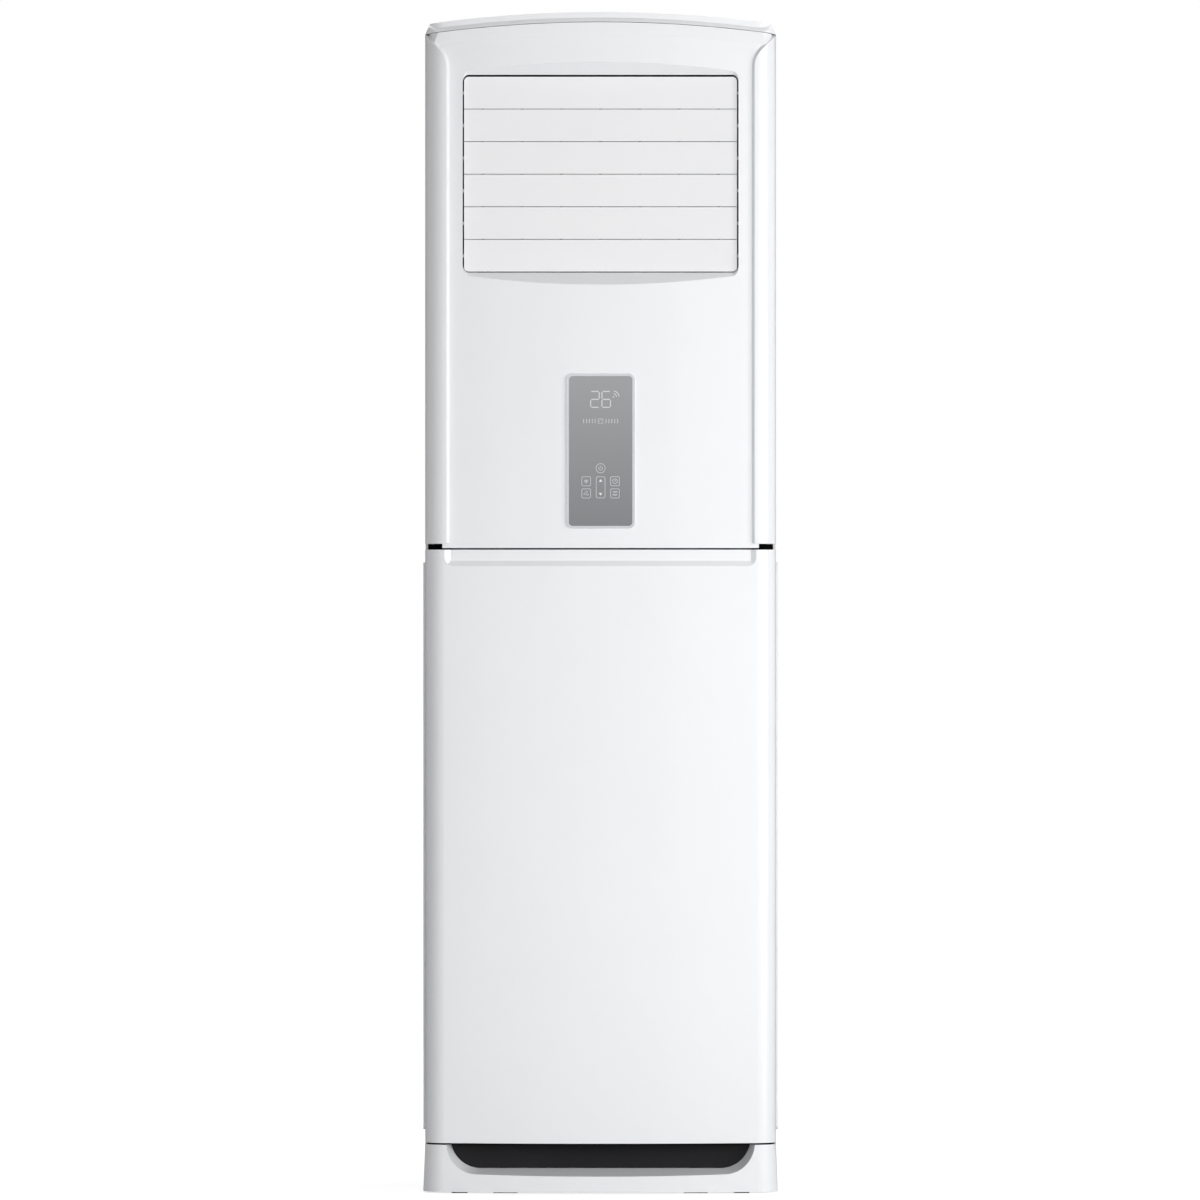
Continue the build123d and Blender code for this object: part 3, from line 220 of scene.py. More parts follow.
# %% A white floor that keeps the shadow
FLOOR_TONE = "#C8C8C8"
NEAR_GLOW, FAR_GLOW = 0.72, 1.0
GLOW_RISES_FROM, GLOW_RISES_TO = 1.2, 3.2
floor_mesh = bpy.data.meshes.new("floor")
floor_mesh.from_pydata([(-40, -40, 0), (40, -40, 0), (40, 60, 0), (-40, 60, 0)], [], [(0, 1, 2, 3)])
floor = bpy.data.objects.new("floor", floor_mesh)
bpy.context.scene.collection.objects.link(floor)
floor_finish = bpy.data.materials.new("studio_floor")
floor_finish.use_nodes = True
tree = floor_finish.node_tree
tree.nodes.clear()
path = add(tree, "ShaderNodeLightPath")
lit = add(tree, "ShaderNodeBsdfDiffuse", {"Color": linear(FLOOR_TONE)})
place = add(tree, "ShaderNodeTexCoord").outputs["Object"]
away = add(tree, "ShaderNodeVectorMath", {0: place}, operation="LENGTH").outputs["Value"]
fade = add(tree, "ShaderNodeMapRange", {0: away, 1: GLOW_RISES_FROM, 2: GLOW_RISES_TO, 3: NEAR_GLOW, 4: FAR_GLOW})
glow = add(tree, "ShaderNodeEmission", {"Color": linear("#FFFFFF"), "Strength": fade.outputs[0]})
both_shown = add(tree, "ShaderNodeAddShader", {0: lit.outputs[0], 1: glow.outputs[0]})
seen = path.outputs["Is Camera Ray"]
mix = add(tree, "ShaderNodeMixShader", {0: seen, 1: lit.outputs[0], 2: both_shown.outputs[0]})
add(tree, "ShaderNodeOutputMaterial", {0: mix.outputs[0]})
floor_mesh.materials.append(floor_finish)
print("floor glow:", NEAR_GLOW, "to", FAR_GLOW)

# %% [markdown]
# ## Plastics
# Most of what shows is injection-moulded ABS. Its skin copies the steel mould: glossy on the front mouldings, satin
# on the louvres, finely spark-eroded on the dark parts. A moulded skin is never a perfect mirror, so each finish
# gets a very shallow waviness for the flow of the plastic, a few centimetres long, and a fine grain over it. Both
# are bump only. Noise on Object coordinates stays put when a part moves, and its scale comes from a size in mm.
# Shine is how much the skin mirrors: the usual 0.5 for white parts, and far less for the rough black ones, which
# would otherwise turn grey in a white room.

# %% A moulded plastic and its skin


def start_material(name, colour, roughness, metallic=0.0):
    made = bpy.data.materials.new(name)
    made.use_nodes = True
    tree = made.node_tree
    shader = next(n for n in tree.nodes if n.type == "BSDF_PRINCIPLED")
    shader.inputs["Base Color"].default_value = linear(colour)
    shader.inputs["Roughness"].default_value = roughness
    shader.inputs["Metallic"].default_value = metallic
    place = add(tree, "ShaderNodeTexCoord").outputs["Object"]
    return made, tree, shader, place


def noise(tree, place, size_mm, detail=2.0):
    """Noise whose blotches are about size_mm across."""
    return add(tree, "ShaderNodeTexNoise", {"Vector": place, "Scale": 1 / (size_mm * MM), "Detail": detail})


def between(tree, factor, low, high):
    """Turns 0..1 into low..high: numbers or hex colours."""
    if isinstance(low, str):
        return add(tree, "ShaderNodeMix", {0: factor, 6: linear(low), 7: linear(high)}, data_type="RGBA").outputs[2]
    return add(tree, "ShaderNodeMapRange", {0: factor, 3: low, 4: high}).outputs[0]


def moulded(name, colour, shade, roughness, grain_mm, grain_depth_mm, wave_mm=35.0, shine=0.5):
    """Moulded plastic: colour drifts slightly to shade, and the skin has grain and a slow wave."""
    made, tree, shader, place = start_material(name, colour, roughness)
    drift = noise(tree, place, 180.0)
    tree.links.new(between(tree, drift.outputs[0], colour, shade), shader.inputs["Base Color"])
    gloss = noise(tree, place, 60.0, 3.0)
    tree.links.new(between(tree, gloss.outputs[0], roughness * 0.9, roughness * 1.12), shader.inputs["Roughness"])
    wave = noise(tree, place, wave_mm, 1.0)
    slow = add(tree, "ShaderNodeBump", {"Height": wave.outputs[0], "Strength": 0.25, "Distance": 0.05 * MM})
    grain = noise(tree, place, grain_mm, 2.0)
    fine = add(tree, "ShaderNodeBump", {"Height": grain.outputs[0], "Normal": slow.outputs[0], "Strength": 0.6,
                                        "Distance": grain_depth_mm * MM})
    tree.links.new(fine.outputs[0], shader.inputs["Normal"])
    shader.inputs["IOR"].default_value = 1.53
    shader.inputs["Specular IOR Level"].default_value = shine
    return made


print("a 35 mm wave has noise scale", round(1 / (35.0 * MM), 1))

# %% [markdown]
# ## The plastics in use
# The white mouldings differ in their mould's polish: the front is glossy, the louvres satin, the grilles matt. The
# frame round the air outlet and the dark plate at the foot are rough and black. Behind them come fan, pan, pipe and
# rubber. Each is one call, because they differ only in colour, gloss and grain.

# %% The plastics, from white ABS to the near-black of the seam's painted shade
gloss_white_abs = moulded("moulded_white_abs_gloss", "#F1F2F4", "#EEEFF1", 0.24, 1.2, 0.004)
satin_white_abs = moulded("moulded_white_abs_satin", "#F2F2F3", "#EFEFF1", 0.42, 0.9, 0.01)
grille_white_abs = moulded("moulded_white_abs_matt", "#ECEDEF", "#E6E7EA", 0.5, 0.8, 0.015)
black_abs = moulded("spark_eroded_black_abs", "#0C0C0D", "#111112", 0.7, 0.8, 0.03, shine=0.12)
dark_abs = moulded("moulded_dark_grey_abs", "#26272A", "#2C2D30", 0.5, 0.8, 0.02)
fan_plastic = moulded("glass_filled_black_plastic", "#1F2022", "#2A2B2D", 0.6, 0.6, 0.03)
white_foam_pan = moulded("thermoformed_white_styrene", "#E9EAE8", "#DFE0DD", 0.55, 2.5, 0.05)
grey_pvc = moulded("extruded_grey_pvc", "#BFC1BF", "#B5B7B5", 0.38, 1.0, 0.01)
black_nylon = moulded("moulded_black_nylon", "#1B1C1D", "#232425", 0.48, 0.7, 0.02)
cream_case = moulded("moulded_cream_polyester", "#D8D5C8", "#CCC8B8", 0.45, 0.8, 0.02)
black_rubber = moulded("moulded_black_rubber", "#141414", "#1E1E1D", 0.78, 0.6, 0.05)
recess_black_abs = moulded("moulded_black_abs_recess", "#1C1C1E", "#222224", 0.75, 0.8, 0.03, shine=0.2)
# Near-black for the strips in the middle seam: painted shade, in place of the shade between the mouldings.
seam_shade_black = moulded("black_for_painted_seam_shade", "#09090A", "#0F0F10", 0.9, 0.7, 0.08, shine=0.1)
print("plastics:", gloss_white_abs.name, satin_white_abs.name, black_abs.name)

# %% [markdown]
# ## Painted and bare metal
# The side panels are sheet steel with a baked powder coat, which dries in a fine orange peel about a millimetre
# across. The corner posts and the floor pan are painted black as painted shade: the black stands in for the shade
# that fills the seams, and it shows through them. The back and the fan casing are hot-dip galvanised sheet: zinc
# freezes in crystals called spangle, some 12 mm across, and each crystal mirrors the light a little differently.
# Voronoi cells give the crystals, and their random value changes brightness and roughness. Copper, brass and
# aluminium are bare.

# %% Paint, zinc and bare metal as functions


def powder_coat(name, colour, shade, shine=0.5):
    made, tree, shader, place = start_material(name, colour, 0.38)
    shader.inputs["IOR"].default_value = 1.5
    shader.inputs["Specular IOR Level"].default_value = shine
    peel = noise(tree, place, 1.6, 2.0)
    bump = add(tree, "ShaderNodeBump", {"Height": peel.outputs[0], "Strength": 0.5, "Distance": 0.02 * MM})
    tree.links.new(bump.outputs[0], shader.inputs["Normal"])
    drift = noise(tree, place, 240.0)
    tree.links.new(between(tree, drift.outputs[0], colour, shade), shader.inputs["Base Color"])
    return made


def galvanised(name, low, high, spangle_mm):
    made, tree, shader, place = start_material(name, low, 0.4, 1.0)
    crystal = add(tree, "ShaderNodeTexVoronoi", {"Vector": place, "Scale": 1 / (spangle_mm * MM)})
    value = add(tree, "ShaderNodeSeparateColor", {0: crystal.outputs["Color"]}).outputs[0]
    tree.links.new(between(tree, value, low, high), shader.inputs["Base Color"])
    tree.links.new(between(tree, value, 0.42, 0.5), shader.inputs["Roughness"])
    return made


def bare_metal(name, low, high, roughness, grain_mm, stretch=(1, 1, 1)):
    """Metal whose drawn or rolled lines run along the axis with the smallest stretch."""
    made, tree, shader, place = start_material(name, low, roughness, 1.0)
    along = add(tree, "ShaderNodeMapping", {"Vector": place, "Scale": stretch})
    lines = noise(tree, along.outputs[0], grain_mm, 3.0)
    tree.links.new(between(tree, lines.outputs[0], low, high), shader.inputs["Base Color"])
    tree.links.new(between(tree, lines.outputs[0], roughness * 0.8, roughness * 1.25), shader.inputs["Roughness"])
    bump = add(tree, "ShaderNodeBump", {"Height": lines.outputs[0], "Strength": 0.3, "Distance": 0.01 * MM})
    tree.links.new(bump.outputs[0], shader.inputs["Normal"])
    return made


print("metal finishes: painted, galvanised and bare")

# %% [markdown]
# ## The metals in use
# Drawn tubes and rolled foil have their lines along one axis, so the noise is stretched there. The rim of the
# window is chrome on plastic: copper and nickel go on the moulding first, so it mirrors with hardly any grain.

# %% The metals
powder_coated_steel = powder_coat("powder_coated_steel_white", "#ECEDEF", "#E6E8EB")
# Black paint on the posts and the floor pan is painted shade: it makes the seams dark where only shade falls.
black_steel_painted_seam_shade = powder_coat("black_steel_for_painted_seam_shade", "#08080A", "#0C0C0D", shine=0.12)
galvanised_steel = galvanised("hot_dip_galvanised_steel", "#BCC0C4", "#C9CCD0", 12.0)
rolled_aluminium = bare_metal("rolled_aluminium_foil", "#C6CACD", "#DADDDF", 0.32, 1.5, (1, 1, 0.1))
drawn_copper = bare_metal("drawn_copper_tube", "#B4694A", "#CF8562", 0.3, 1.2, (1, 1, 0.1))
turned_brass = bare_metal("turned_brass", "#B8923F", "#D0AC5A", 0.28, 0.6, (1, 1, 4))
plated_steel = bare_metal("zinc_plated_steel", "#A9ADB0", "#C2C5C8", 0.3, 1.0)
chrome_on_abs = bare_metal("chrome_plated_abs", "#D3D5D9", "#DFE1E4", 0.12, 6.0)
print("metals:", powder_coated_steel.name, galvanised_steel.name, chrome_on_abs.name)

# %% [markdown]
# ## Window, board and net
# The control window is clear acrylic printed grey behind, darker towards its foot, so the grey runs down with the
# height of the part and a clear coat lies over it. The circuit boards are glass cloth under green solder mask, with
# copper tracks showing as paler lines. The filter net is woven nylon and is built as real threads further below.

# %% Printed window, circuit board and net thread
WINDOW_TOP_GREY, WINDOW_FOOT_GREY = "#9B9C9E", "#7B7C7F"


def printed_window(name):
    made, tree, shader, place = start_material(name, WINDOW_TOP_GREY, 0.12)
    low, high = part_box("control_glass")
    height = add(tree, "ShaderNodeSeparateXYZ", {0: place}).outputs["Z"]
    rise = add(tree, "ShaderNodeMapRange", {0: height, 1: low.z, 2: high.z})
    tree.links.new(between(tree, rise.outputs[0], WINDOW_FOOT_GREY, WINDOW_TOP_GREY), shader.inputs["Base Color"])
    shader.inputs["Coat Weight"].default_value = 0.6
    shader.inputs["Coat Roughness"].default_value = 0.04
    wave = noise(tree, place, 50.0, 1.0)
    bump = add(tree, "ShaderNodeBump", {"Height": wave.outputs[0], "Strength": 0.2, "Distance": 0.03 * MM})
    tree.links.new(bump.outputs[0], shader.inputs["Normal"])
    return made


def circuit_board(name, track_mm):
    made, tree, shader, place = start_material(name, "#1E5B39", 0.35)
    tracks = add(tree, "ShaderNodeTexBrick", {"Vector": place, "Scale": 1 / (track_mm * MM), "Mortar Size": 0.04,
                                              "Color1": linear("#1B5535"), "Color2": linear("#226340"),
                                              "Mortar": linear("#3F8A5C")})
    tree.links.new(tracks.outputs[0], shader.inputs["Base Color"])
    return made


def printed_ink(name, colour, roughness=0.4):
    made, tree, shader, place = start_material(name, colour, roughness)
    dots = noise(tree, place, 0.8)
    tree.links.new(between(tree, dots.outputs[0], roughness * 0.85, roughness * 1.15), shader.inputs["Roughness"])
    return made


window_grey = printed_window("back_printed_acrylic")
green_board = circuit_board("solder_masked_glass_cloth", 9.0)
white_ink = printed_ink("screen_printed_white", "#F4F5F6")
pale_ink = printed_ink("screen_printed_pale_grey", "#D3D5D8")
net_nylon = moulded("woven_grey_nylon", "#4A4E54", "#565A60", 0.55, 0.5, 0.02)
print("window runs from", WINDOW_TOP_GREY, "to", WINDOW_FOOT_GREY)

# %% [markdown]
# ## A finish for every CAD part
# Each part keeps its CAD shape and takes the finish of the substance it is made of. The list goes by finish, so it
# reads like a parts list, and the cell stops if a part has been forgotten.

# %% Dress the CAD parts
parts_by_finish = {
    gloss_white_abs: ["upper_front_panel", "lower_front_panel", "top_cap", "plinth"],
    satin_white_abs: [f"louvre_blade_{k}" for k in range(1, 7)],
    grille_white_abs: ["side_grille_right", "side_grille_left", "filter_right", "filter_left"],
    # The posts and the floor pan take the black that stands in for the shade in the seams: painted shade.
    black_steel_painted_seam_shade: ["corner_posts", "base_pan"],
    powder_coated_steel: ["side_panel_right", "side_panel_left", "electrical_cover"],
    galvanised_steel: ["roof_plate", "rear_panel", "wall_bracket", "scroll_housing", "inlet_ring", "motor_bracket",
                       "coil_end_plates", "partition_plate", "electrical_box"],
    black_abs: ["display_housing", "outlet_frame"],
    recess_black_abs: ["kick_recess"],
    dark_abs: ["vane_link_bar", "louvre_link_bar"] + [f"vane_{k}" for k in range(1, 8)],
    plated_steel: ["louvre_motor", "vane_motor", "fan_motor", "rear_screws"],
    chrome_on_abs: ["control_bezel"],
    window_grey: ["control_glass"],
    green_board: ["display_board", "main_board"],
    black_rubber: ["feet", "rear_grommets"],
    fan_plastic: ["fan_wheel"],
    rolled_aluminium: ["evaporator_fins"],
    drawn_copper: ["return_bends", "gas_pipe", "liquid_pipe"],
    turned_brass: ["flare_unions"],
    white_foam_pan: ["drain_pan"],
    grey_pvc: ["drain_pipe"],
    black_nylon: ["terminal_block"],
    cream_case: ["motor_capacitor"],
}


def dress(node, finish):
    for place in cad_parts[node].material_slots:
        place.material = finish


for finish, names in parts_by_finish.items():
    for name in names:
        dress(name, finish)
forgotten = set(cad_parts) - {name for names in parts_by_finish.values() for name in names}
assert not forgotten, forgotten
print("finishes:", len(parts_by_finish), "for", len(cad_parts), "parts")

# %% [markdown]
# ## Signs on the window
# The window's signs are screen-printed: thin pale strokes of one width, with two solid arrows. Each stroke is built
# as a flat ribbon along its centre line, because that keeps its width even round a bend, as a print does. The ink
# stands less than a tenth of a millimetre off the acrylic. The keys carry plain pictograms.

# %% A ribbon of ink along a path
WINDOW_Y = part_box("control_glass")[0].y
INK_MM = 0.08


def ink(name, finish, strokes, solids=()):
    """One printed piece. A stroke is (points in mm as (x, z), width in mm, closed); a solid is a filled outline."""
    bm = bmesh.new()
    outlines = [ribbon(*stroke) for stroke in strokes] + [[face] for face in solids]
    for quads in outlines:
        for quad in quads:
            front = [bm.verts.new((x * MM, WINDOW_Y - INK_MM * MM, z * MM)) for x, z in quad]
            back = [bm.verts.new((x * MM, WINDOW_Y, z * MM)) for x, z in quad]
            bm.faces.new(front)
            bm.faces.new(back[::-1])
            for i in range(len(quad)):
                j = (i + 1) % len(quad)
                bm.faces.new((front[j], front[i], back[i], back[j]))
    bmesh.ops.recalc_face_normals(bm, faces=bm.faces)
    made = plain_object(name, bm, finish)
    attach(made, "cabinet")
    return made


def ribbon(points, width, closed=False):
    """Splits a path into quads of even width, mitred at its bends."""
    path = [Vector(p) for p in points]
    count = len(path)
    sides = []
    for i, here in enumerate(path):
        before = path[i - 1] if closed or i > 0 else here
        after = path[(i + 1) % count] if closed or i < count - 1 else here
        into, out = (here - before).normalized(), (after - here).normalized()
        along = (into + out).normalized()
        across = Vector((-along.y, along.x))
        bend = max(0.5, abs(along.dot(into if into.length else out)))
        sides.append((here + across * (width / 2 / bend), here - across * (width / 2 / bend)))
    last = count if closed else count - 1
    return [[sides[i][0], sides[(i + 1) % count][0], sides[(i + 1) % count][1], sides[i][1]] for i in range(last)]


def arc(x, z, radius, start, end, steps=14):
    angles = [math.radians(start + (end - start) * k / steps) for k in range(steps + 1)]
    return [(x + radius * math.cos(a), z + radius * math.sin(a)) for a in angles]


def rounded(x, z, width, height, corner):
    half_w, half_h = width / 2 - corner, height / 2 - corner
    turns = ((half_w, half_h, 0), (-half_w, half_h, 90), (-half_w, -half_h, 180), (half_w, -half_h, 270))
    return [p for dx, dz, start in turns for p in arc(x + dx, z + dz, corner, start, start + 90, 5)]


print("window face at y =", round(WINDOW_Y, 5))

# %% [markdown]
# ## What the display shows
# Two digits of seven segments stand side by side, with a dot and two arcs for the signal to their right. Below them
# a row of arcs on both sides of a small fan gives its speed. Nearly all of it is strokes, so lists of strokes are
# enough, and a loop places what repeats.

# %% Digits, signal and fan speed
DIGIT_W, DIGIT_H, DIGIT_STROKE = 13.0, 24.2, 1.7
DIGIT_MIDDLE_Z, DIGIT_X = 1210.1, 8.6
SEGMENTS_2 = ((-1, 1, 1, 1), (1, 1, 1, 0), (-1, 0, 1, 0), (-1, 0, -1, -1), (-1, -1, 1, -1))
SEGMENTS_6 = ((-1, 1, 1, 1), (-1, 1, -1, 0), (-1, 0, 1, 0), (-1, 0, -1, -1), (-1, -1, 1, -1), (1, 0, 1, -1))


def digit(x, segments):
    strokes = []
    for x0, z0, x1, z1 in segments:
        start = Vector((x + x0 * DIGIT_W / 2, DIGIT_MIDDLE_Z + z0 * DIGIT_H / 2))
        end = Vector((x + x1 * DIGIT_W / 2, DIGIT_MIDDLE_Z + z1 * DIGIT_H / 2))
        step = (end - start).normalized() * DIGIT_STROKE * 0.6
        strokes.append(([start + step, end - step], DIGIT_STROKE))
    return strokes


signal = [(arc(18.8, 1213.6, radius, 5, 80), 1.3) for radius in (5.4, 9.4)]
dot = arc(19.4, 1213.8, 1.1, 0, 340, 10)
ROW_Z, ROW_STEP, ROW_START, ARC_RADIUS = 1177.1, 4.4, 8.6, 6.0
HUB_DISTANCE, LOBE_RADIUS = 2.4, 2.1
speed = []
for side in (0, 180):
    for k in range(5):
        middle = math.cos(math.radians(side)) * (ROW_START + k * ROW_STEP - ARC_RADIUS)
        speed.append((arc(middle, ROW_Z, ARC_RADIUS, side - 32, side + 32, 8), 0.9))
for k in range(4):
    angle = math.radians(45 + 90 * k)
    centre = (HUB_DISTANCE * math.cos(angle), ROW_Z + HUB_DISTANCE * math.sin(angle))
    speed.append((arc(*centre, LOBE_RADIUS, 0, 330, 12), 0.8, True))
ink("sign_digits", pale_ink, digit(-DIGIT_X, SEGMENTS_2) + digit(DIGIT_X, SEGMENTS_6) + signal, [dot])
ink("sign_fan_speed", pale_ink, speed)
print("fan speed strokes:", len(speed))

# %% [markdown]
# ## The keys
# Four square keys stand round a tall rocker, with a round power key above. A key is one rounded outline. Its sign is
# a pictogram of a few strokes: snowflake, clock, fan and swing. The rocker's two arrows are the only filled signs.

# %% Keys and their pictograms
KEY_X, KEY_W, KEY_H, ROCKER_H, POWER_RADIUS = 21.9, 13.4, 14.0, 32.2, 7.0
UPPER_KEY_Z, LOWER_KEY_Z, POWER_Z = 1085.4, 1066.9, 1105.2
LINE = 0.75
keys = [(rounded(side * KEY_X, z, KEY_W, KEY_H, 2.2), LINE, True) for side in (-1, 1)
        for z in (UPPER_KEY_Z, LOWER_KEY_Z)]
keys.append((rounded(0, (UPPER_KEY_Z + LOWER_KEY_Z) / 2, KEY_W, ROCKER_H, 2.6), LINE, True))
keys.append((arc(0, POWER_Z, POWER_RADIUS, 0, 350, 35), LINE, True))
power = [(arc(0, POWER_Z, 2.9, 125, 415, 18), LINE), ([(0, POWER_Z + 0.6), (0, POWER_Z + 4.0)], LINE)]
snow = [([(-KEY_X + 3.6 * math.cos(a), UPPER_KEY_Z + 3.6 * math.sin(a)),
          (-KEY_X - 3.6 * math.cos(a), UPPER_KEY_Z - 3.6 * math.sin(a))], LINE)
        for a in (math.radians(30), math.radians(90), math.radians(150))]
clock = [(arc(KEY_X, UPPER_KEY_Z, 3.6, 0, 345, 23), LINE, True),
         ([(KEY_X, UPPER_KEY_Z + 2.4), (KEY_X, UPPER_KEY_Z), (KEY_X + 1.8, UPPER_KEY_Z)], LINE)]
blades = [(arc(-KEY_X + 2.1 * math.cos(a), LOWER_KEY_Z + 2.1 * math.sin(a), 1.7, math.degrees(a) - 170,
               math.degrees(a) + 40, 9), LINE) for a in (math.radians(90 + 120 * k) for k in range(3))]
swing = [([(KEY_X - 3.6 + 1.2 * k, LOWER_KEY_Z + rise + (0.9 if k % 2 else -0.9)) for k in range(7)], LINE)
         for rise in (2.2, -2.2)]
arrows = [[(-2.6, z - 1.7 * up), (2.6, z - 1.7 * up), (0, z + 2.3 * up)] for z, up in ((1086.4, 1), (1065.9, -1))]
ink("sign_keys", pale_ink, keys + power + snow + clock + blades + swing)
ink("sign_arrows", white_ink, [], arrows)
print("keys:", len(keys), "with the rocker and the power circle")

# %% [markdown]
# ## Repeating one piece with Geometry Nodes
# Screws, fins and net threads are each one small shape that repeats at an even step. Copying them by hand would hide
# the rule, so a Geometry Nodes tree holds it: one line of points inside another, and the shape on every point. The
# mesh that carries the modifier is the shape itself. The tree ends in real geometry with its material, and the
# result is kept as a plain mesh.

# %% The repeating tree, and a function that uses it
repeat_tree = bpy.data.node_groups.new("repeat_in_rows", "GeometryNodeTree")
SOCKETS = (("Shape", "NodeSocketGeometry"), ("Count", "NodeSocketInt"), ("Step", "NodeSocketVector"),
           ("Rows", "NodeSocketInt"), ("Row Step", "NodeSocketVector"), ("Finish", "NodeSocketMaterial"))
socket_id = {}
for label, kind in SOCKETS:
    made_socket = repeat_tree.interface.new_socket(label, in_out="INPUT", socket_type=kind)
    socket_id[label] = made_socket.identifier
repeat_tree.interface.new_socket("Repeated", in_out="OUTPUT", socket_type="NodeSocketGeometry")
given = add(repeat_tree, "NodeGroupInput").outputs
line = add(repeat_tree, "GeometryNodeMeshLine", {"Count": given["Count"], "Offset": given["Step"]})
rows = add(repeat_tree, "GeometryNodeMeshLine", {"Count": given["Rows"], "Offset": given["Row Step"]})
in_line = add(repeat_tree, "GeometryNodeInstanceOnPoints", {"Points": line.outputs[0], "Instance": given["Shape"]})
in_rows = add(repeat_tree, "GeometryNodeInstanceOnPoints", {"Points": rows.outputs[0],
                                                             "Instance": in_line.outputs[0]})
real = add(repeat_tree, "GeometryNodeRealizeInstances", {0: in_rows.outputs[0]})
finished = add(repeat_tree, "GeometryNodeSetMaterial", {"Geometry": real.outputs[0], "Material": given["Finish"]})
add(repeat_tree, "NodeGroupOutput", {0: finished.outputs[0]})


def repeated(name, bm, finish, count, step, rows=1, row_step=(0, 0, 0)):
    """Repeats the shape in bm and returns it as one plain object at the origin."""
    bmesh.ops.recalc_face_normals(bm, faces=bm.faces)
    shape = bpy.data.meshes.new(name + "_shape")
    bm.to_mesh(shape)
    bm.free()
    carrier = bpy.data.objects.new(name + "_carrier", shape)
    bpy.context.scene.collection.objects.link(carrier)
    modifier = carrier.modifiers.new("repeat", "NODES")
    modifier.node_group = repeat_tree
    for label, value in (("Count", count), ("Step", step), ("Rows", rows), ("Row Step", row_step),
                         ("Finish", finish)):
        modifier[socket_id[label]] = value
    view = bpy.context.evaluated_depsgraph_get()
    mesh = bpy.data.meshes.new_from_object(carrier.evaluated_get(view))
    bpy.data.objects.remove(carrier)
    made = bpy.data.objects.new(name, mesh)
    bpy.context.scene.collection.objects.link(made)
    print(name, "has", count * rows, "copies and", len(mesh.polygons), "faces")
    return made


def block(bm, low, high, bevel=0.0):
    """Adds a box between two corners, with its edges taken off."""
    size, middle = Vector(high) - Vector(low), (Vector(high) + Vector(low)) / 2
    place = Matrix.Translation(middle) @ Matrix.Diagonal((*size, 1))
    cube = bmesh.ops.create_cube(bm, size=1, matrix=place)["verts"]
    if bevel:
        edges = {e for v in cube for e in v.link_edges}
        bmesh.ops.bevel(bm, geom=list(edges), offset=bevel, segments=2, profile=0.7, affect="EDGES")
    return bm


# %% [markdown]
# ## Screws on the back
# Fourteen zinc-plated pan head screws hold the back panel. Each head is a low dome with a cross recess. The dome is
# a polar grid of points, and the points inside the cross are pushed in, which needs no boolean cut.

# %% Pan head screws
HEAD_MM, RECESS_MM, CROSS_HALF_MM, CROSS_REACH_MM = 4.0, 1.1, 0.45, 2.4
low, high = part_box("rear_screws")
rise = high.y - low.y
first_screw = Vector((low.x + HEAD_MM * MM, low.y, low.z + HEAD_MM * MM))
SCREWS_DOWN, SPOKES = 7, 32
RING_MM = (0.0, 0.5, 0.95, 1.5, 2.0, 2.5, 3.0, 3.6, 4.0)


def screw_head(bm, centre, height):
    rings = []
    for ring in RING_MM:
        points = []
        for k in range(SPOKES if ring else 1):
            angle = math.tau * k / SPOKES
            u, v = ring * math.cos(angle), ring * math.sin(angle)
            dome = height * math.sqrt(max(0.0, 1 - (ring / HEAD_MM) ** 2.6) * 0.75)
            in_cross = ring < CROSS_REACH_MM and min(abs(u), abs(v)) < CROSS_HALF_MM
            y = dome - (RECESS_MM * MM if in_cross else 0)
            points.append(bm.verts.new(centre + Vector((u * MM, max(0.0, y), v * MM))))
        rings.append(points)
    for k in range(SPOKES):
        after = (k + 1) % SPOKES
        bm.faces.new((rings[0][0], rings[1][k], rings[1][after]))
        for inner, outer in zip(rings[1:], rings[2:]):
            bm.faces.new((inner[k], outer[k], outer[after], inner[after]))
    bm.faces.new(rings[-1])
    return bm


screws = repeated("pan_head_screws", screw_head(bmesh.new(), first_screw, rise), plated_steel, SCREWS_DOWN,
                  (0, 0, (high.z - low.z - 2 * HEAD_MM * MM) / (SCREWS_DOWN - 1)), 2,
                  (high.x - low.x - 2 * HEAD_MM * MM, 0, 0))
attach(screws, "cabinet")
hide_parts("rear_screws")

# %% [markdown]
# ## Fins of the heat exchanger
# The real coil is a stack of aluminium foil fins pressed on copper tubes. In CAD it is one block. Here it is a stack
# again: each fin is a thin plate folded in a shallow zigzag, as real fins are to stir the air. Real fins stand about
# 1.5 mm apart and are 0.1 mm thick, and these are 1.8 mm apart and 0.2 mm thick, so that they show.

# %% A stack of folded fins
FIN_PITCH_MM, FIN_MM, FOLD_MM, FOLDS, FIN_MARGIN_MM = 1.8, 0.2, 0.35, 6, 0.2
COIL_W, COIL_D, COIL_H, COIL_TILT = 400.0, 50.0, 560.0, 22.0
low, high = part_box("evaporator_fins")
coil_place = Matrix.Translation((low + high) / 2) @ Matrix.Rotation(math.radians(-COIL_TILT), 4, "X")


def fin(bm, x_mm):
    walls = [[], []]
    for k in range(FOLDS + 1):
        y = -COIL_D / 2 + COIL_D * k / FOLDS
        fold = FOLD_MM if k % 2 else 0.0
        for wall, shift in zip(walls, (0.0, FIN_MM)):
            x = x_mm + fold + shift
            wall.append([bm.verts.new(coil_place @ Vector((x * MM, y * MM, z * COIL_H / 2 * MM))) for z in (-1, 1)])
    for wall in walls:
        for (a, b), (c, d) in zip(wall, wall[1:]):
            bm.faces.new((a, b, d, c))
    near, far = walls
    for k in range(FOLDS):
        for end in (0, 1):
            bm.faces.new((near[k][end], near[k + 1][end], far[k + 1][end], far[k][end]))
    for k in (0, FOLDS):
        bm.faces.new((near[k][0], near[k][1], far[k][1], far[k][0]))
    return bm


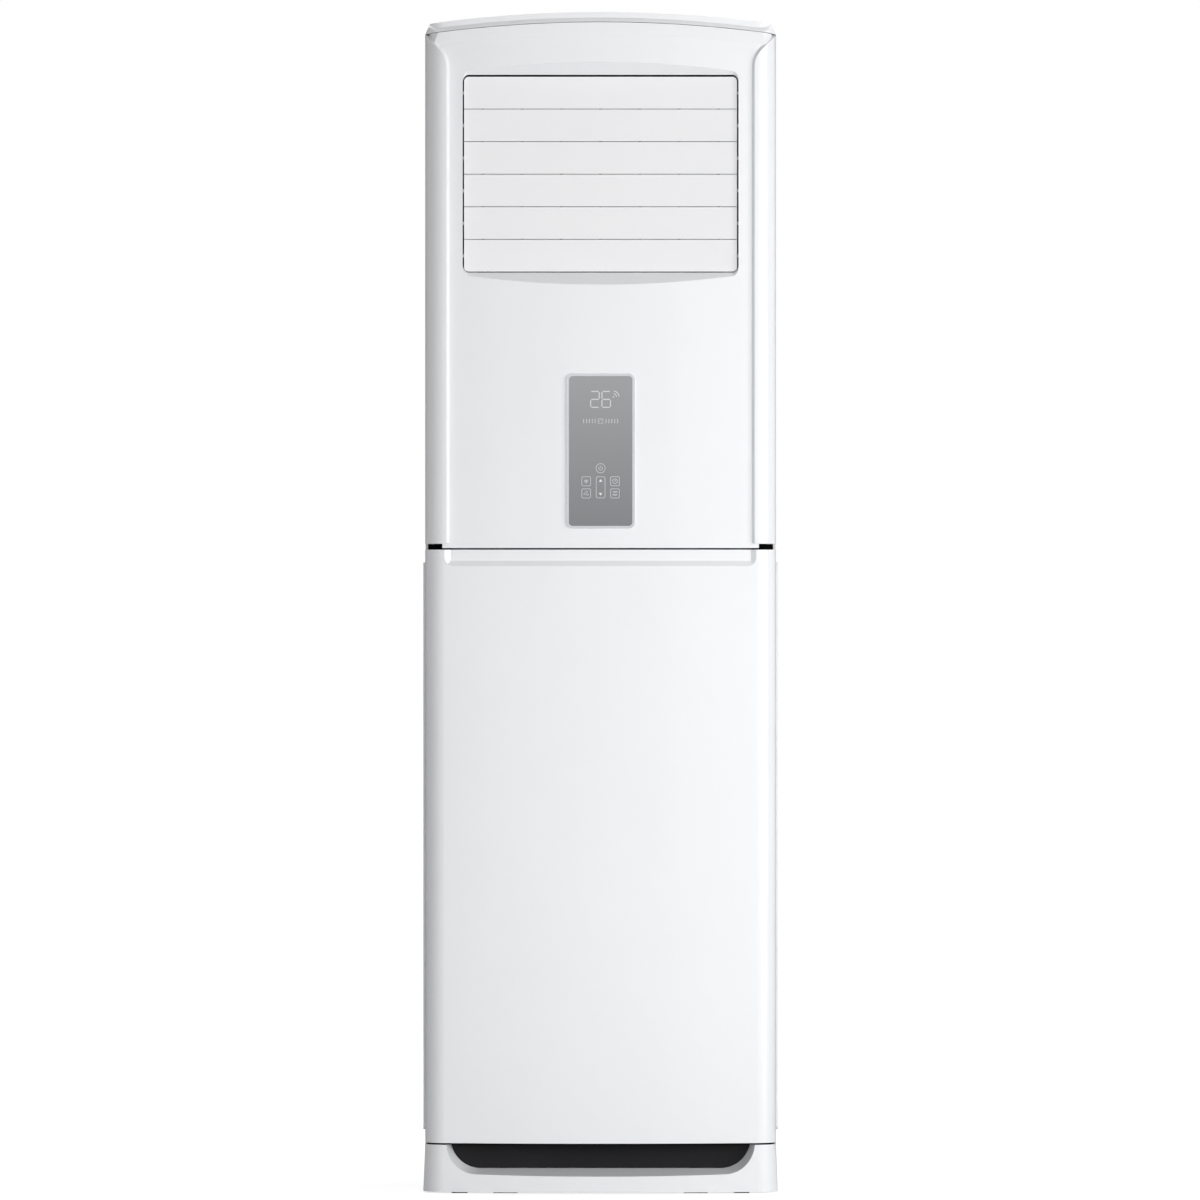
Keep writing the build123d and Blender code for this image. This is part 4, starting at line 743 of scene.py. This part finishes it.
room_mm = COIL_W - FIN_MM - FOLD_MM - 2 * FIN_MARGIN_MM
fin_count = int(room_mm / FIN_PITCH_MM) + 1
fins = repeated("coil_fins", fin(bmesh.new(), -COIL_W / 2 + FIN_MARGIN_MM), rolled_aluminium, fin_count,
                (room_mm / (fin_count - 1) * MM, 0, 0))
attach(fins, "cabinet")
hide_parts("evaporator_fins")

# %% [markdown]
# ## Nets of the air filters
# Behind each side grille a plastic frame holds a woven nylon net. Its threads are under a millimetre apart on the
# real one. Here they are 3 mm apart and half a millimetre thick, the finest that still shows in a picture of the
# whole cabinet. Each side slides out with its own grille, so each has its own pieces.

# %% Frames and threads
THREAD_MM, NET_MM, RIM_MM, SOFT_EDGE_MM, BAYS = 0.5, 3.0, 6.0, 0.5, 4


def filter_frame(side):
    low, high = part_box(f"filter_{side}")
    rim, soft, bm = RIM_MM * MM, SOFT_EDGE_MM * MM, bmesh.new()
    for y in (low.y, high.y - rim):
        block(bm, (low.x, y, low.z), (high.x, y + rim, high.z), soft)
    pitch = (high.z - low.z - rim) / BAYS
    for k in range(BAYS + 1):
        z = low.z + k * pitch
        block(bm, (low.x, low.y + rim / 2, z), (high.x, high.y - rim / 2, z + rim), soft)
    made = plain_object(f"filter_frame_{side}", bm, grille_white_abs)
    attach(made, f"intake_{side}")
    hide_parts(f"filter_{side}")
    return low, high


def net(side, low, high):
    thick, step, edge = THREAD_MM * MM, NET_MM * MM, RIM_MM * MM / 2
    x = (low.x + high.x) / 2
    wide, tall = high.y - low.y - 2 * edge, high.z - low.z - 2 * edge
    upright, level = bmesh.new(), bmesh.new()
    block(upright, (x, low.y + edge, low.z + edge), (x + thick, low.y + edge + thick, high.z - edge))
    block(level, (x - thick / 2, low.y + edge, low.z + edge), (x + thick / 2, high.y - edge, low.z + edge + thick))
    for name, bm, length, along in (("upright", upright, wide, (0, 1, 0)), ("level", level, tall, (0, 0, 1))):
        count = int((length - thick) / step)
        made = repeated(f"net_{name}_{side}", bm, net_nylon, count,
                        tuple(c * (length - thick) / (count - 1) for c in along))
        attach(made, f"intake_{side}")


for side in ("right", "left"):
    net(side, *filter_frame(side))

# %% [markdown]
# ## Painted shade in the middle seam
# Where the two front mouldings meet, the seam opens out towards both sides and is dark there from shade. Two
# near-black strips fill it as painted shade. Each strip is a soft-cornered block a little shorter than the gap, and
# it stays on the cabinet when the lower front slides off.

# %% Two strips of painted shade in the seam
SEAM_LOW_MM, SEAM_HIGH_MM = 981.5, 990.0
SHADE_STRIP_OUTER_MM, SHADE_STRIP_INNER_MM = 264.0, 232.0
SHADE_STRIP_FRONT_MM, SHADE_STRIP_BACK_MM, SHADE_STRIP_EDGE_MM = -113.0, -109.5, 1.4
seam_shade_mesh = bmesh.new()
for side in (-1, 1):
    ends = sorted((side * SHADE_STRIP_INNER_MM * MM, side * SHADE_STRIP_OUTER_MM * MM))
    block(seam_shade_mesh, (ends[0], SHADE_STRIP_FRONT_MM * MM, SEAM_LOW_MM * MM),
          (ends[1], SHADE_STRIP_BACK_MM * MM, SEAM_HIGH_MM * MM), SHADE_STRIP_EDGE_MM * MM)
# These strips are painted shade: a near-black block where the seam shows only shade.
seam_shade_object = plain_object("seam_painted_shade", seam_shade_mesh, seam_shade_black)
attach(seam_shade_object, "cabinet")
print("foam strips, height in mm:", SEAM_HIGH_MM - SEAM_LOW_MM)
